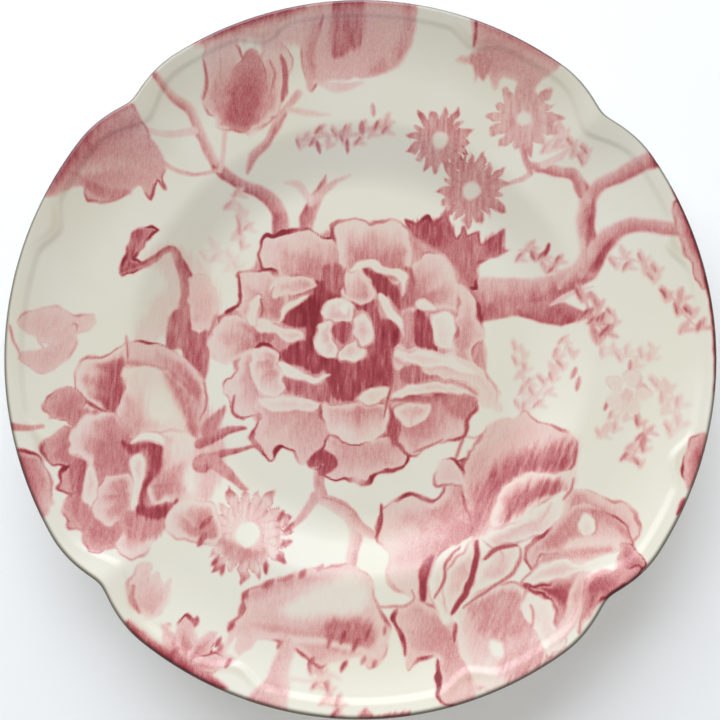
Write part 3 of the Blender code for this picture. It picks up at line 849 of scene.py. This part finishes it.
def draw_right_flower(ink):
    # The big back petals, pale outside and deep where the flower folds over them.
    ink.petal(
        [(30, -54), (25, -55), (19, -53), (12, -57), (8, -62), (8, -69), (12, -74), (12, -82), (16, -87),
        (30, -94), (34, -80), (44, -66), (44, -48), (38, -40)], (46, -66), 0.16, 0.5, 0.5, 0.5, 1.0
    )
    ink.petal(
        [(45, -32), (50, -25), (56, -25), (61, -22), (66, -26), (72, -28), (77, -31), (77, -35), (74, -42),
        (62, -46), (50, -58), (45, -68), (39, -56), (38, -42)], (50, -60), 0.2, 0.34, 0.4, 0.5, 1.2
    )
    ink.patch(
        [(41, -66), (42, -54), (49, -43), (60, -37), (76, -33), (76, -38), (73, -44), (60, -45), (53, -50),
        (48, -60)], 0.6, 7.0
    )
    ink.patch([(45, -55), (52, -45), (64, -40), (74, -39), (72, -43), (60, -44), (52, -50)], 0.68, 4.0)
    ink.petal(
        [(30, -41), (34, -40), (38, -44), (38, -48), (33, -50), (28, -49)], (33, -46), 0.14, 0.22, 0.6, 0.5
    )
    # The folded middle: a pale rim, its dark hollow, and a white lip.
    ink.petal(
        [(48, -62), (51, -52), (57, -46), (64, -44), (72, -44), (77, -42), (78, -47), (75, -52), (66, -52),
        (56, -58), (50, -66)], (58, -56), 0.1, 0.4, 0.35, 0.4, 0.9
    )
    ink.patch(
        [(51, -62), (54, -55), (60, -50), (67, -47), (73, -47), (72, -52), (64, -54), (56, -60)], 0.66, 3.5
    )
    ink.petal(
        [(44, -68), (52, -63), (58, -61), (63, -57), (69, -53), (74, -51), (73, -58), (67, -65), (59, -68),
        (50, -71)], (58, -74), 0.03, 0.28, 0.25, 0.35, 0.9
    )
    ink.line([(54, -65), (61, -63), (66, -60), (69, -55)], 0.25, 1.0)
    # The right-hand petal with its frilled edge.
    ink.petal(
        [(75, -51), (80, -50), (85, -52), (89, -54), (93, -54), (97, -58), (98, -64), (95, -68), (97, -76),
        (84, -76), (70, -74), (60, -72), (66, -66), (73, -58)], (68, -62), 0.2, 0.5, 0.35, 0.5, 1.1
    )
    ink.petal(
        [(76, -56), (82, -55), (87, -58), (92, -60), (95, -66), (94, -72), (82, -73), (66, -73), (62, -78),
        (60, -72), (68, -64)], (68, -64), 0.24, 0.52, 0.45, 0.5, 1.0
    )
    ink.stroke([(79, -58), (84, -58), (90, -61), (94, -66)], (1.5, 3, 3, 1.5), 0.45, 0.0, 2.0)
    ink.petal(
        [(78, -62), (80, -58), (84, -60), (84, -65), (79, -66)], (78, -70), 0.02, 0.15, 0.4, 0.35, 1.0, 0.3
    )
    ink.patch([(72, -70), (80, -66), (92, -66), (90, -71), (78, -72)], 0.16, 3.0)
    ink.stroke([(62, -79), (68, -74), (78, -72), (88, -70)], (2, 3, 3, 2), 0.4, 0.0, 2.5)
    for shape in (
        ([(58, -83), (64, -77), (72, -74), (80, -75), (88, -71), (91, -72), (87, -77), (78, -79), (68, -82)],
         (70, -90), 0.0, 0.25, 0.3, 0.35, 0.9),
        ([(92, -68), (96, -69), (99, -75), (94, -80), (88, -84), (84, -80), (90, -76)], (96, -74), 0.4, 0.62,
         0.5),
        # The lower petals, which run out over the edge of the plate.
        ([(14, -97), (16, -92), (24, -90), (33, -96), (38, -104), (43, -113), (40, -122), (30, -122),
         (29, -109), (23, -109), (19, -112), (17, -104)], (34, -100), 0.22, 0.46, 0.6, 0.5, 1.1),
        ([(36, -94), (42, -88), (50, -84), (58, -84), (63, -92), (68, -100), (72, -104), (62, -112),
         (50, -118), (42, -116), (36, -104)], (54, -92), 0.1, 0.5, 0.25, 0.4, 0.9),
    ):
        ink.petal(*shape)
    ink.patch([(41, -92), (50, -86), (58, -88), (60, -98), (50, -100), (43, -98)], 0.42, 4.0)
    ink.patch([(52, -106), (62, -102), (64, -108), (52, -114)], 0.36, 4.0)
    ink.patch([(47, -102), (51, -103), (51, -107), (47, -106)], 0.0, 2.0)
    for shape in (
        ([(59, -86), (64, -86), (69, -90), (70, -96), (72, -101), (66, -106), (62, -98), (58, -92)],
         (60, -110), 0.04, 0.2, 0.3, 0.35, 1.0),
        ([(59, -84), (66, -83), (73, -80), (80, -80), (78, -90), (72, -98), (69, -95), (70, -91), (66, -87)],
         (66, -85), 0.4, 0.82, 0.5, 0.5, 1.3),
        ([(76, -80), (82, -79), (80, -86), (76, -94), (70, -101), (69, -98), (73, -90)], (82, -90), 0.2,
         0.42, 0.3, 0.35, 1.0),
        ([(80, -80), (88, -77), (98, -76), (92, -82), (84, -87), (79, -94), (76, -98), (78, -90)], (80, -88),
         0.42, 0.72, 0.55, 0.4, 1.2),
    ):
        ink.petal(*shape)
    # White turned-over ridges, each with its deep fold beside it.
    ink.stroke([(27, -75), (24.5, -80), (24, -89)], (1.5, 4, 2), 0.78, 0.0, 1.5)
    ink.petal(
        [(41, -68), (33, -71), (28, -76), (26, -84), (28, -92), (32, -98), (34, -93), (31, -86), (32, -79),
        (38, -73)], (24, -84), 0.0, 0.16, 0.3, 0.35, 0.9, 0.5
    )
    ink.petal(
        [(32, -79), (38, -73), (42, -70), (42, -79), (38, -87), (33, -94), (31, -87)], (42, -80), 0.06, 0.34,
        0.3, 0.35, 0.9, 0.5
    )
    ink.petal(
        [(45, -75), (50, -70), (57, -70), (57, -76), (52, -82), (44, -86), (37, -92), (41, -84), (43, -79)],
        (58, -84), 0.02, 0.3, 0.3, 0.35, 0.8, 0.5
    )
    for points, tone, width in (
        ([(37, -71), (32, -77), (31, -83), (28, -89)], 0.66, 0.8),
        ([(43, -69), (42, -78), (39, -86), (34, -94)], 0.85, 1.5),
        ([(58, -71), (57, -77), (52, -82), (44, -87), (38, -92)], 0.62, 0.8),
        ([(45, -75), (50, -71), (57, -70)], 0.72, 1.1),
        ([(50, -79), (52, -74), (50, -71)], 0.3, 0.8),
        ([(14, -97), (17, -102), (18, -108)], 0.82, 0.9),
        ([(9, -57), (9, -63), (7, -69)], 0.85, 0.9),
        ([(29, -109), (29.5, -114), (29, -119)], 0.8, 0.9),
        ([(20, -86), (21, -89), (17, -92), (8, -92)], 0.45, 0.8),
        ([(39, -31), (37, -35), (35, -41)], 0.6, 0.8),
        ([(50, -26), (48, -31), (38, -32)], 0.3, 0.8),
        ([(61, -90), (62, -94), (61, -98)], 0.6, 0.5),
        ([(35, -97), (35, -103)], 0.7, 1.1),
        ([(78, -35), (77, -40), (75, -43)], 0.7, 0.8),
        ([(77, -46), (76, -50), (73, -54)], 0.6, 0.7),
    ):
        ink.line(points, tone, width)


def draw_bottom(ink):
    # A broad curled petal, pale in the middle, with a knotted upper edge and a deep fold.
    ink.petal(
        [(-38, -90), (-32, -86), (-26, -84), (-20, -82), (-16, -80), (-8, -79), (0, -79), (5, -82), (7, -88),
        (9, -93), (12, -99), (12, -105), (9, -110), (6, -112), (3, -109), (-3, -110), (-8, -111),
        (-13, -112), (-17, -108), (-24, -105), (-32, -103), (-35, -107), (-39, -109), (-40, -103),
        (-44, -108), (-42, -99), (-38, -95)], (-14, -104), 0.2, 0.34, 0.42, 0.45, 1.2
    )
    ink.stroke([(-37, -91), (-28, -88), (-18, -85), (-12, -84)], (4, 5, 4, 1), 0.34, 0.1, 3.0)
    # A soft near-bare patch in the middle of the petal: a painted highlight.
    ink.patch([(-26, -94), (-14, -86), (-2, -82), (5, -86), (3, -94), (-8, -96), (-20, -97)], 0.05, 6.0)
    ink.stroke([(-34, -99), (-22, -100), (-8, -99), (4, -96)], (2, 3, 5, 2), 0.34, -0.1, 3.0)
    ink.patch([(-10, -98), (-2, -97), (6, -98), (7, -104), (0, -107), (-9, -105)], 0.56, 4.0)
    ink.stroke([(-22, -104), (-12, -104), (-2, -106), (8, -108)], (2, 2, 2, 1), 0.16, 0.0, 2.0)
    ink.stroke([(8, -94), (10.5, -100), (9.5, -107)], (1, 3, 1), 0.18, 0.0, 2.0)
    for x, y, length, width, lean, tone in (
        (-38, -89.5, 2.5, 2, 60, 0.72),
        (-39, -94, 4, 2, 75, 0.66),
        (-42, -100, 3.5, 2, 60, 0.66),
        (-30, -85.5, 4, 2.4, 30, 0.62),
        (-24, -83.5, 5, 1.8, 20, 0.52),
        (-18.5, -82, 3, 2, 60, 0.72),
        (-12, -79.5, 2.5, 1.8, 45, 0.5),
        (-45, -107, 3, 1.8, 70, 0.6),
        (-8, -104, 4, 1.6, 75, 0.72),
        (-3.5, -103, 4, 1.6, 70, 0.74),
        (1, -105, 4, 1.6, 65, 0.7),
        (4.5, -102, 4, 1.4, 70, 0.66),
        (-14, -110.5, 2.5, 1.8, 50, 0.62),
        (-3, -112, 3.5, 1.6, 60, 0.76),
        (3.5, -110, 2.5, 1.6, 60, 0.6),
        (7.5, -111, 2.5, 1.6, 60, 0.6),
        (-25, -105.5, 2.5, 1.6, 60, 0.72),
        (11, -100, 3, 1.2, 80, 0.55),
    ):
        ink.dab(x, y, length, width, lean, tone, 1.4)
    # A folded bud by the notch.
    ink.petal(
        [(-77, -86), (-75, -81), (-72, -79), (-70, -84), (-68, -82), (-66, -87), (-64, -85), (-64, -92),
        (-67, -96), (-71, -97), (-75, -95), (-77, -90)], (-70, -100), 0.16, 0.36, 0.22, 0.35, 1.0
    )
    ink.stroke([(-76, -87), (-75.5, -92), (-73, -96)], (1, 1.6, 0.6), 0.55)
    ink.stroke([(-72, -82), (-71, -88), (-71, -94)], (0.8, 1.4, 0.6), 0.3)
    ink.stroke([(-67, -88), (-67, -92), (-69, -96)], (0.6, 1.2, 0.6), 0.3)
    # A daisy that the rim cuts off.
    for tip, half, turn in (
        ((-65, -99), 3.2, 105),
        ((-57, -96.5), 3.6, 75),
        ((-47, -102), 3.4, 35),
        ((-40, -110.5), 3.0, 5),
    ):
        across = Vector((math.sin(math.radians(turn)), -math.cos(math.radians(turn)))) * half
        foot = (-56, -113)
        middle = ((tip[0] + foot[0]) / 2, (tip[1] + foot[1]) / 2)
        left = (middle[0] - across.x, middle[1] - across.y)
        right = (middle[0] + across.x, middle[1] + across.y)
        ink.petal([tip, right, foot, left], foot, 0.26, 0.66, 0.6, 0.45, 1.1)
    ink.stroke(
        [(-76, -99), (-68, -106), (-58, -112), (-48, -117), (-42, -119)], (2, 4, 5, 4, 1), 0.55, 0.0, 2.0
    )
    ink.dab(-54, -98.5, 3, 1.8, 80, 0.7)
    ink.dab(-46, -105, 3, 1.8, 60, 0.7)
    ink.dab(-42, -111.5, 3, 1.6, 60, 0.7)
    ink.dab(-60, -109, 4, 2.2, 60, 0.6)
    # The stalk at the bottom spreads over the rim.
    ink.stroke([(-22, -106), (-24, -112), (-25, -118), (-27, -126)], (5, 6, 8, 12), 0.27, -0.06, 2.0)
    ink.stroke([(-34, -123), (-28, -118), (-22, -121)], (3, 3, 1), 0.34, 0.0, 2.0)
    ink.stroke([(-20, -116), (-14, -117), (-8, -115), (-4, -116)], (1.5, 1.5, 2, 1), 0.14, 0.0, 2.0)
    ink.patch([(3, -128), (5, -124.5), (8, -127), (14, -125.5), (20, -125), (18, -128)], 0.42, 1.5)


def draw_leaves(ink):
    ink.petal(
        [(-122, 3), (-117, 8), (-109, 10), (-103, 7), (-97, 8), (-97, 4), (-102, 1), (-108, -4), (-117, -1)],
        (-112, -4), 0.2, 0.26, 0.28, 0.4, 1.0, 0.5
    )
    ink.petal(
        [(-120, -9), (-113, -5), (-107, 0), (-103, 4), (-103, -4), (-107, -11), (-113, -14)], (-112, -4),
        0.24, 0.3, 0.34, 0.4, 1.0, 0.5
    )
    ink.line([(-124, 2), (-122, -4), (-119, -10)], 0.45, 0.5)
    for tip in ((-116, 8), (-108, 9), (-110, -12), (-105, -7)):
        ink.line([(-115, -3), ((tip[0] - 114) / 2, (tip[1] - 2) / 2), tip], 0.38, 0.4)
    ink.petal(
        [(-120, -43), (-112, -43), (-107, -50), (-105, -58), (-109, -66), (-116, -56)], (-116, -44), 0.3,
        0.5, 0.55
    )
    ink.stroke([(-124, -33), (-116, -34), (-111, -33)], (2.5, 2.5, 1.5), 0.4)
    # The jagged leaf at the top right.
    ink.petal(
        [(38, 124), (39, 116), (40, 111), (33, 108), (39, 106), (40, 100), (43, 105), (47, 98), (50, 102),
        (58, 99), (66, 101), (70, 104), (72, 108), (60, 118), (48, 124)], (44, 108), 0.3, 0.42, 0.25, 0.4,
        1.0, 0.4, 3
    )
    ink.line([(39, 124), (39.5, 117), (39, 112)], 0.75, 0.9)
    ink.stroke([(40, 123), (54, 117), (72, 107)], (3, 5, 4), 0.5, 0.0, 3.0)
    ink.patch([(38, 109), (45, 110), (44, 101), (40, 103)], 0.46, 2.0)
    # The band of leaf along the right edge.
    ink.petal(
        [(111, 52), (114, 53), (120, 38), (123, 24), (121, 22), (117, 32), (113, 42)], (118, 40), 0.3, 0.5,
        0.5
    )
    ink.stroke(
        [(112, 59), (117, 47), (121, 34), (124.5, 18), (126, 0), (124.5, -20)], (3, 4, 3, 3, 4, 0.5), 0.62,
        0.0, 1.5
    )
    ink.petal(
        [(120, -30), (115, -33), (113, -44), (115, -49), (119, -42), (121, -34)], (119, -38), 0.32, 0.55,
        0.7, 0.4
    )
    ink.dab(111.5, -55, 6, 1.6, 60, 0.6)


def draw_daisies(ink):
    ink.daisy((27.5, 78.5), 3.0, 12.0, 16, 0.42, 0.66, 0.3)
    ink.daisy((40, 60.5), 3.2, 13.0, 17, 0.42, 0.62, 0.0)
    ink.line([(32, 74), (32, 65)], 0.6, 0.6)
    ink.line([(37, 73), (36, 66)], 0.65, 0.7)
    ink.line([(34, 56), (31, 50)], 0.6, 0.7)
    ink.daisy((58.5, 86.5), 2.6, 13.0, 14, 0.32, 0.46, 0.7)
    ink.stroke([(58, 97), (60, 101)], (6, 8), 0.34, 0.0, 2.0)
    ink.daisy((-38.5, -68.5), 4.0, 16.0, 19, 0.2, 0.7, 0.1)
    ink.stroke([(-48, -70), (-44, -74), (-38, -76), (-33, -75)], (2, 5, 5, 2), 0.42, 0.0, 3.0)
    ink.patch([(-41, -66), (-36, -65), (-34, -69), (-38, -73), (-42, -70)], 0.0, 1.0)
    for x, y, lean in (
        (-27, -62, 65),
        (-24, -66, 50),
        (-24.5, -71.5, 20),
        (-26, -77, 140),
        (-31, -80, 100),
        (-49, -78, 60),
        (-46, -81, 75),
    ):
        ink.dab(x, y, 3.5, 1.8, lean, 0.7, 1.4)


def draw_sprigs(ink):
    for points, leaf, tone in (
        ([(-26, 77), (-16, 79), (-5, 80), (8, 84)], 5, 0.34),
        ([(58, 38), (64, 37), (71, 32)], 5, 0.34),
        ([(81, 22), (83, 14), (88, 7)], 7, 0.46),
        ([(83, 13), (92, 13)], 4, 0.34),
        ([(91, 34), (98, 34), (106, 29)], 5.5, 0.26),
        ([(110, 22), (114, 15), (120, 8)], 6, 0.36),
        ([(71, 85), (73, 78), (80, 72)], 5.5, 0.28),
        ([(72, 80), (66, 76)], 5, 0.24),
        ([(59, 3), (60, -8), (60, -20)], 5, 0.2),
        ([(76, 4), (71, -6), (64, -18)], 5, 0.24),
        ([(88, 2), (97, -2), (105, -1)], 5, 0.18),
        ([(102, -25), (100, -33), (96, -39)], 5, 0.34),
        ([(95, -20), (90, -27), (86, -30)], 4.5, 0.22),
        ([(106, -10), (112, -18), (110, -28)], 6, 0.18),
        ([(-47, 38), (-46, 46), (-50, 56)], 5.5, 0.2),
        ([(-60, 34), (-53, 35), (-49, 29)], 6, 0.1),
        ([(-14, -112), (-9, -118), (-4, -126)], 5, 0.32),
    ):
        ink.sprig(points, leaf, tone)
    for x, y, length, lean, tone in (
        (-18, 75, 4, 110, 0.62),
        (-7, 76, 4, 90, 0.62),
        (-8.5, 81, 4, 80, 0.5),
        (-2, 82, 3, 100, 0.55),
        (2, 89, 4, 100, 0.4),
        (68, 38, 4, 75, 0.72),
        (77.5, -8, 4, 70, 0.5),
        (79, -12, 5, 80, 0.5),
        (97, -6, 5, 85, 0.4),
        (89, -19, 5, 65, 0.5),
        (101, -32, 4, 75, 0.5),
        (-47, 44, 5, 95, 0.42),
    ):
        ink.dab(x, y, length, 1.7, lean, tone)
    for turn in range(0, 360, 72):
        out = (96 + 5.5 * math.cos(math.radians(turn)), -15 + 5.5 * math.sin(math.radians(turn)))
        ink.petal(round_petal(*out, 2.8), (96, -15), 0.1, 0.14, 0.16)
    ink.patch(round_petal(96, -16, 2.4), 0.2, 1.5)


def draw_print(ink):
    draw_branches(ink)
    draw_leaves(ink)
    draw_sprigs(ink)
    draw_daisies(ink)
    draw_top_left(ink)
    draw_fringe(ink)
    draw_hooked_leaf(ink)
    draw_right_flower(ink)
    draw_centre_flower(ink)
    draw_bottom(ink)
    draw_left_flower(ink)
    ink.stroke([(-17, -43), (-13, -41), (-10, -43), (-13, -46)], (3, 7, 5, 3), 0.72)


class Nodes:
    """A material whose nodes are added in short calls."""

    def __init__(self, name, roughness, coat=0.0):
        self.material = bpy.data.materials.new(name)
        self.material.use_nodes = True
        self.tree = self.material.node_tree
        self.shader = self.tree.nodes["Principled BSDF"]
        self.shader.inputs["Roughness"].default_value = roughness
        self.shader.inputs["Coat Weight"].default_value = coat
        self.shader.inputs["Coat Roughness"].default_value = COAT_ROUGHNESS
        self.place = self.tree.nodes.new("ShaderNodeTexCoord").outputs["Object"]

    def join(self, source, socket):
        if isinstance(source, bpy.types.NodeSocket):
            self.tree.links.new(source, socket)
        else:
            socket.default_value = source

    def attribute(self, name):
        node = self.tree.nodes.new("ShaderNodeAttribute")
        node.attribute_name = name
        return node.outputs["Fac"]

    def noise(self, size_mm, detail=2.0, stretch=(1.0, 1.0, 1.0), turn=0.0):
        """Noise from 0 to 1, with features about this size."""
        mapping = self.tree.nodes.new("ShaderNodeMapping")
        mapping.inputs["Scale"].default_value = [1.0 / (size_mm * MM * side) for side in stretch]
        mapping.inputs["Rotation"].default_value = (0.0, 0.0, turn)
        self.join(self.place, mapping.inputs["Vector"])
        node = self.tree.nodes.new("ShaderNodeTexNoise")
        node.inputs["Scale"].default_value = 1.0
        node.inputs["Detail"].default_value = detail
        self.join(mapping.outputs["Vector"], node.inputs["Vector"])
        return node.outputs["Fac"]

    def math(self, operation, a, b=0.0, c=0.0):
        node = self.tree.nodes.new("ShaderNodeMath")
        node.operation = operation
        for source, socket in zip((a, b, c), node.inputs, strict=True):
            self.join(source, socket)
        return node.outputs[0]

    def span(self, value, low, high, to_low=0.0, to_high=1.0):
        node = self.tree.nodes.new("ShaderNodeMapRange")
        for source, socket in zip((value, low, high, to_low, to_high), node.inputs, strict=False):
            self.join(source, socket)
        return node.outputs[0]

    def ramp(self, value, stops):
        node = self.tree.nodes.new("ShaderNodeValToRGB")
        points = node.color_ramp.elements
        while len(points) < len(stops):
            points.new(0.5)
        for point, (position, colour) in zip(points, stops, strict=True):
            point.position = position
            point.color = colour_of(colour)
        self.join(value, node.inputs["Fac"])
        return node.outputs["Color"]

    def mix(self, share, a, b, blend="MIX"):
        node = self.tree.nodes.new("ShaderNodeMix")
        node.data_type = "RGBA"
        node.blend_type = blend
        self.join(share, node.inputs[0])
        for source, socket in zip((a, b), node.inputs[6:8], strict=True):
            self.join(colour_of(source) if isinstance(source, tuple) else source, socket)
        return node.outputs[2]

    def bump(self, height, strength, depth_mm):
        node = self.tree.nodes.new("ShaderNodeBump")
        node.inputs["Strength"].default_value = strength
        node.inputs["Distance"].default_value = depth_mm * MM
        self.join(height, node.inputs["Height"])
        self.join(node.outputs["Normal"], self.shader.inputs["Normal"])


def colour_of(rgb):
    """A colour given as it shows on a screen, from 0 to 255, made linear."""
    return (*[(part / 255.0) ** 2.2 for part in rgb], 1.0)


# Colours as they show on a screen. The ink's run from bare glaze at 0 to the deepest print at 1.
INK_COLOURS = (
    (0.0, (222, 218, 204)),
    (0.25, (219, 182, 175)),
    (0.5, (199, 132, 130)),
    (0.75, (166, 70, 79)),
    (1.0, (128, 22, 38)),
)
DEEPER_GLAZE = (247, 243, 226)
# Painted shade by the band's inner line.
BAND_SHADE_COLOUR = (206, 190, 158)
# Painted shade on the rolled edge, partly a darker line where the glaze thins.
EDGE_SHADE_AND_LINE = (112, 102, 88)
BACK_GLAZE = ((224, 220, 206), (215, 210, 192))
SPECK = (120, 104, 84)
CLAY = ((226, 216, 190), (203, 190, 160))
CLAY_STAIN = (170, 152, 122)
PRINTED_ROUGHNESS = 0.36
PRINTED_COAT = 0.22
BACK_ROUGHNESS = 0.14
BACK_COAT = 0.5
CLAY_ROUGHNESS = 0.8
COAT_ROUGHNESS = 0.2


def glaze_material():
    nodes = Nodes("printed_glaze", PRINTED_ROUGHNESS, PRINTED_COAT)
    ink = nodes.attribute("ink")
    strands = nodes.noise(0.45, 2.0, (1.0, 7.0, 1.0), -0.12)
    stipple = nodes.noise(0.45, 1.0)
    texture = nodes.math("ADD", nodes.math("MULTIPLY", strands, 0.9), nodes.math("MULTIPLY", stipple, 0.6))
    # The engraving's texture shows most in the middle tones.
    room = nodes.math("MULTIPLY", ink, nodes.math("SUBTRACT", 1.25, ink))
    rough_ink = nodes.math("MULTIPLY_ADD", nodes.math("SUBTRACT", texture, 0.72), room, ink)
    colour = nodes.ramp(rough_ink, INK_COLOURS)
    # The glaze is a little uneven, darkened by painted shade by the band's inner line, and along the edge by
    # painted shade and a darker line where the glaze thins.
    cloud = nodes.span(nodes.noise(34.0, 3.0), 0.35, 0.65)
    colour = nodes.mix(nodes.math("MULTIPLY", cloud, 0.35), colour, DEEPER_GLAZE, "MULTIPLY")
    band_shade = nodes.math("MULTIPLY", nodes.attribute("band_shade"), 0.3)
    colour = nodes.mix(band_shade, colour, BAND_SHADE_COLOUR, "MULTIPLY")
    colour = nodes.mix(nodes.attribute("edge"), colour, EDGE_SHADE_AND_LINE, "MULTIPLY")
    nodes.join(colour, nodes.shader.inputs["Base Color"])
    nodes.bump(nodes.noise(6.0, 3.0), 0.25, 0.06)
    return nodes.material


def plain_glaze_material():
    nodes = Nodes("plain_glaze", BACK_ROUGHNESS, BACK_COAT)
    cloud = nodes.span(nodes.noise(26.0, 3.0), 0.35, 0.65)
    colour = nodes.mix(cloud, *BACK_GLAZE)
    specks = nodes.span(nodes.noise(1.1, 0.0), 0.78, 0.82)
    colour = nodes.mix(nodes.math("MULTIPLY", specks, 0.5), colour, SPECK)
    nodes.join(colour, nodes.shader.inputs["Base Color"])
    nodes.bump(nodes.noise(5.0, 3.0), 0.25, 0.06)
    return nodes.material


def clay_material():
    nodes = Nodes("bare_clay", CLAY_ROUGHNESS)
    grit = nodes.noise(0.6, 4.0)
    stain = nodes.span(nodes.noise(9.0, 3.0), 0.45, 0.7)
    colour = nodes.mix(grit, *CLAY)
    colour = nodes.mix(nodes.math("MULTIPLY", stain, 0.6), colour, CLAY_STAIN)
    nodes.join(colour, nodes.shader.inputs["Base Color"])
    nodes.bump(grit, 0.6, 0.1)
    return nodes.material


def add_attribute(thing, name, values):
    layer = thing.data.attributes.new(name, "FLOAT", "POINT")
    layer.data.foreach_set("value", values.astype(np.float32))


def paint(coat, points, front_points):
    """Gives the skin's points their ink, the painted shade by the band's inner line, and the edge's painted
    shade and darker line.
    """
    x, y = points[:front_points, 0], points[:front_points, 1]
    ink = Print(x, y)
    draw_print(ink)
    angle = np.arctan2(y, x)
    inwards = reach(angle) - np.hypot(x, y)
    # How far above the lip's top each point is, in lip radii. At -1 it is half way round.
    above = (points[:front_points, 2] - crown(LOBE_REACH - LIP_RADIUS) - BAND_HEIGHT) / LIP_RADIUS
    # Painted shade over the top of the rolled edge, partly a darker line where the glaze thins.
    edge = smooth_step((EDGE_WIDTH - inwards) / EDGE_FADE) * smooth_step(2.0 + 1.8 * above)
    # Painted shade on the outer side of the band's inner line, strongest at its brackets.
    from_lobe = angle_from_lobe(angle)
    deep = bump(from_lobe - BRACKET_ANGLE, BRACKET_HALF_ANGLE)
    outer_side = bump(inwards - band_width(angle) + BAND_SHADE_WIDTH, BAND_SHADE_WIDTH)
    band_shade = outer_side * (BAND_SHADE_ALONG_BAND + (1.0 - BAND_SHADE_ALONG_BAND) * deep)
    rest = np.zeros(len(points) - front_points)
    # The ink gathers towards the edge, and ends half way round the lip.
    fade = np.where(inwards < LIP_RADIUS, smooth_step((1.3 + above) / 0.5), 1.0)
    fade *= 1.0 + 0.5 * smooth_step((INK_GATHERS - inwards) / INK_GATHERS_FADE)
    add_attribute(coat, "ink", np.concatenate([np.clip(ink.ink * fade, 0.0, 1.0), rest]))
    add_attribute(coat, "band_shade", np.concatenate([band_shade, rest]))
    add_attribute(coat, "edge", np.concatenate([edge, rest]))


def area_light(name, place, size, power, colour):
    data = bpy.data.lights.new(name, "AREA")
    data.shape = "RECTANGLE"
    data.size, data.size_y = size
    data.energy = power
    data.color = colour
    lamp = bpy.data.objects.new(name, data)
    lamp.location = place
    lamp.rotation_mode = "QUATERNION"
    lamp.rotation_quaternion = (-Vector(place)).to_track_quat("-Z", "Y")
    bpy.context.scene.collection.objects.link(lamp)


def make_camera():
    data = bpy.data.cameras.new("camera")
    data.sensor_width = 36.0
    data.lens = CAMERA_LENS
    data.shift_x, data.shift_y = CAMERA_SHIFT
    data.clip_start = 0.01
    camera = bpy.data.objects.new("camera", data)
    back = CAMERA_PLACE.normalized()
    right = PICTURE_UP.cross(back).normalized()
    up = back.cross(right)
    turn = Matrix((right, up, back)).transposed().to_4x4()
    camera.matrix_world = Matrix.Translation(CAMERA_PLACE) @ turn
    bpy.context.scene.collection.objects.link(camera)
    bpy.context.scene.camera = camera


def make_floor():
    mesh = bpy.data.meshes.new("floor")
    side = FLOOR_HALF_SIDE
    mesh.from_pydata(
        [(-side, -side, 0.0), (side, -side, 0.0), (side, side, 0.0), (-side, side, 0.0)],
        [],
        [(0, 1, 2, 3)],
    )
    material = bpy.data.materials.new("pale_floor")
    material.use_nodes = True
    shader = material.node_tree.nodes["Principled BSDF"]
    shader.inputs["Base Color"].default_value = (FLOOR_GREY, FLOOR_GREY, FLOOR_GREY, 1.0)
    shader.inputs["Roughness"].default_value = 0.8
    mesh.materials.append(material)
    floor = bpy.data.objects.new("floor", mesh)
    bpy.context.scene.collection.objects.link(floor)


def make_studio():
    world = bpy.data.worlds.new("studio")
    bpy.context.scene.world = world
    world.use_nodes = True
    back = world.node_tree.nodes["Background"]
    back.inputs["Color"].default_value = ROOM_COLOUR
    back.inputs["Strength"].default_value = ROOM_STRENGTH
    for light in LIGHTS:
        area_light(*light)
    bpy.context.scene.view_settings.view_transform = "Standard"
    bpy.context.scene.view_settings.look = "None"


def main():
    make_camera()
    coat, points, front_points = make_glaze()
    paint(coat, points, front_points)
    coat.data.materials.append(glaze_material())
    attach(coat, "root")
    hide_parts("glaze_coat")
    for node, material in (("china_body", clay_material()), ("hollow_glaze", plain_glaze_material())):
        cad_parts[node].data.materials.clear()
        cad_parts[node].data.materials.append(material)
    make_floor()
    make_studio()


main()
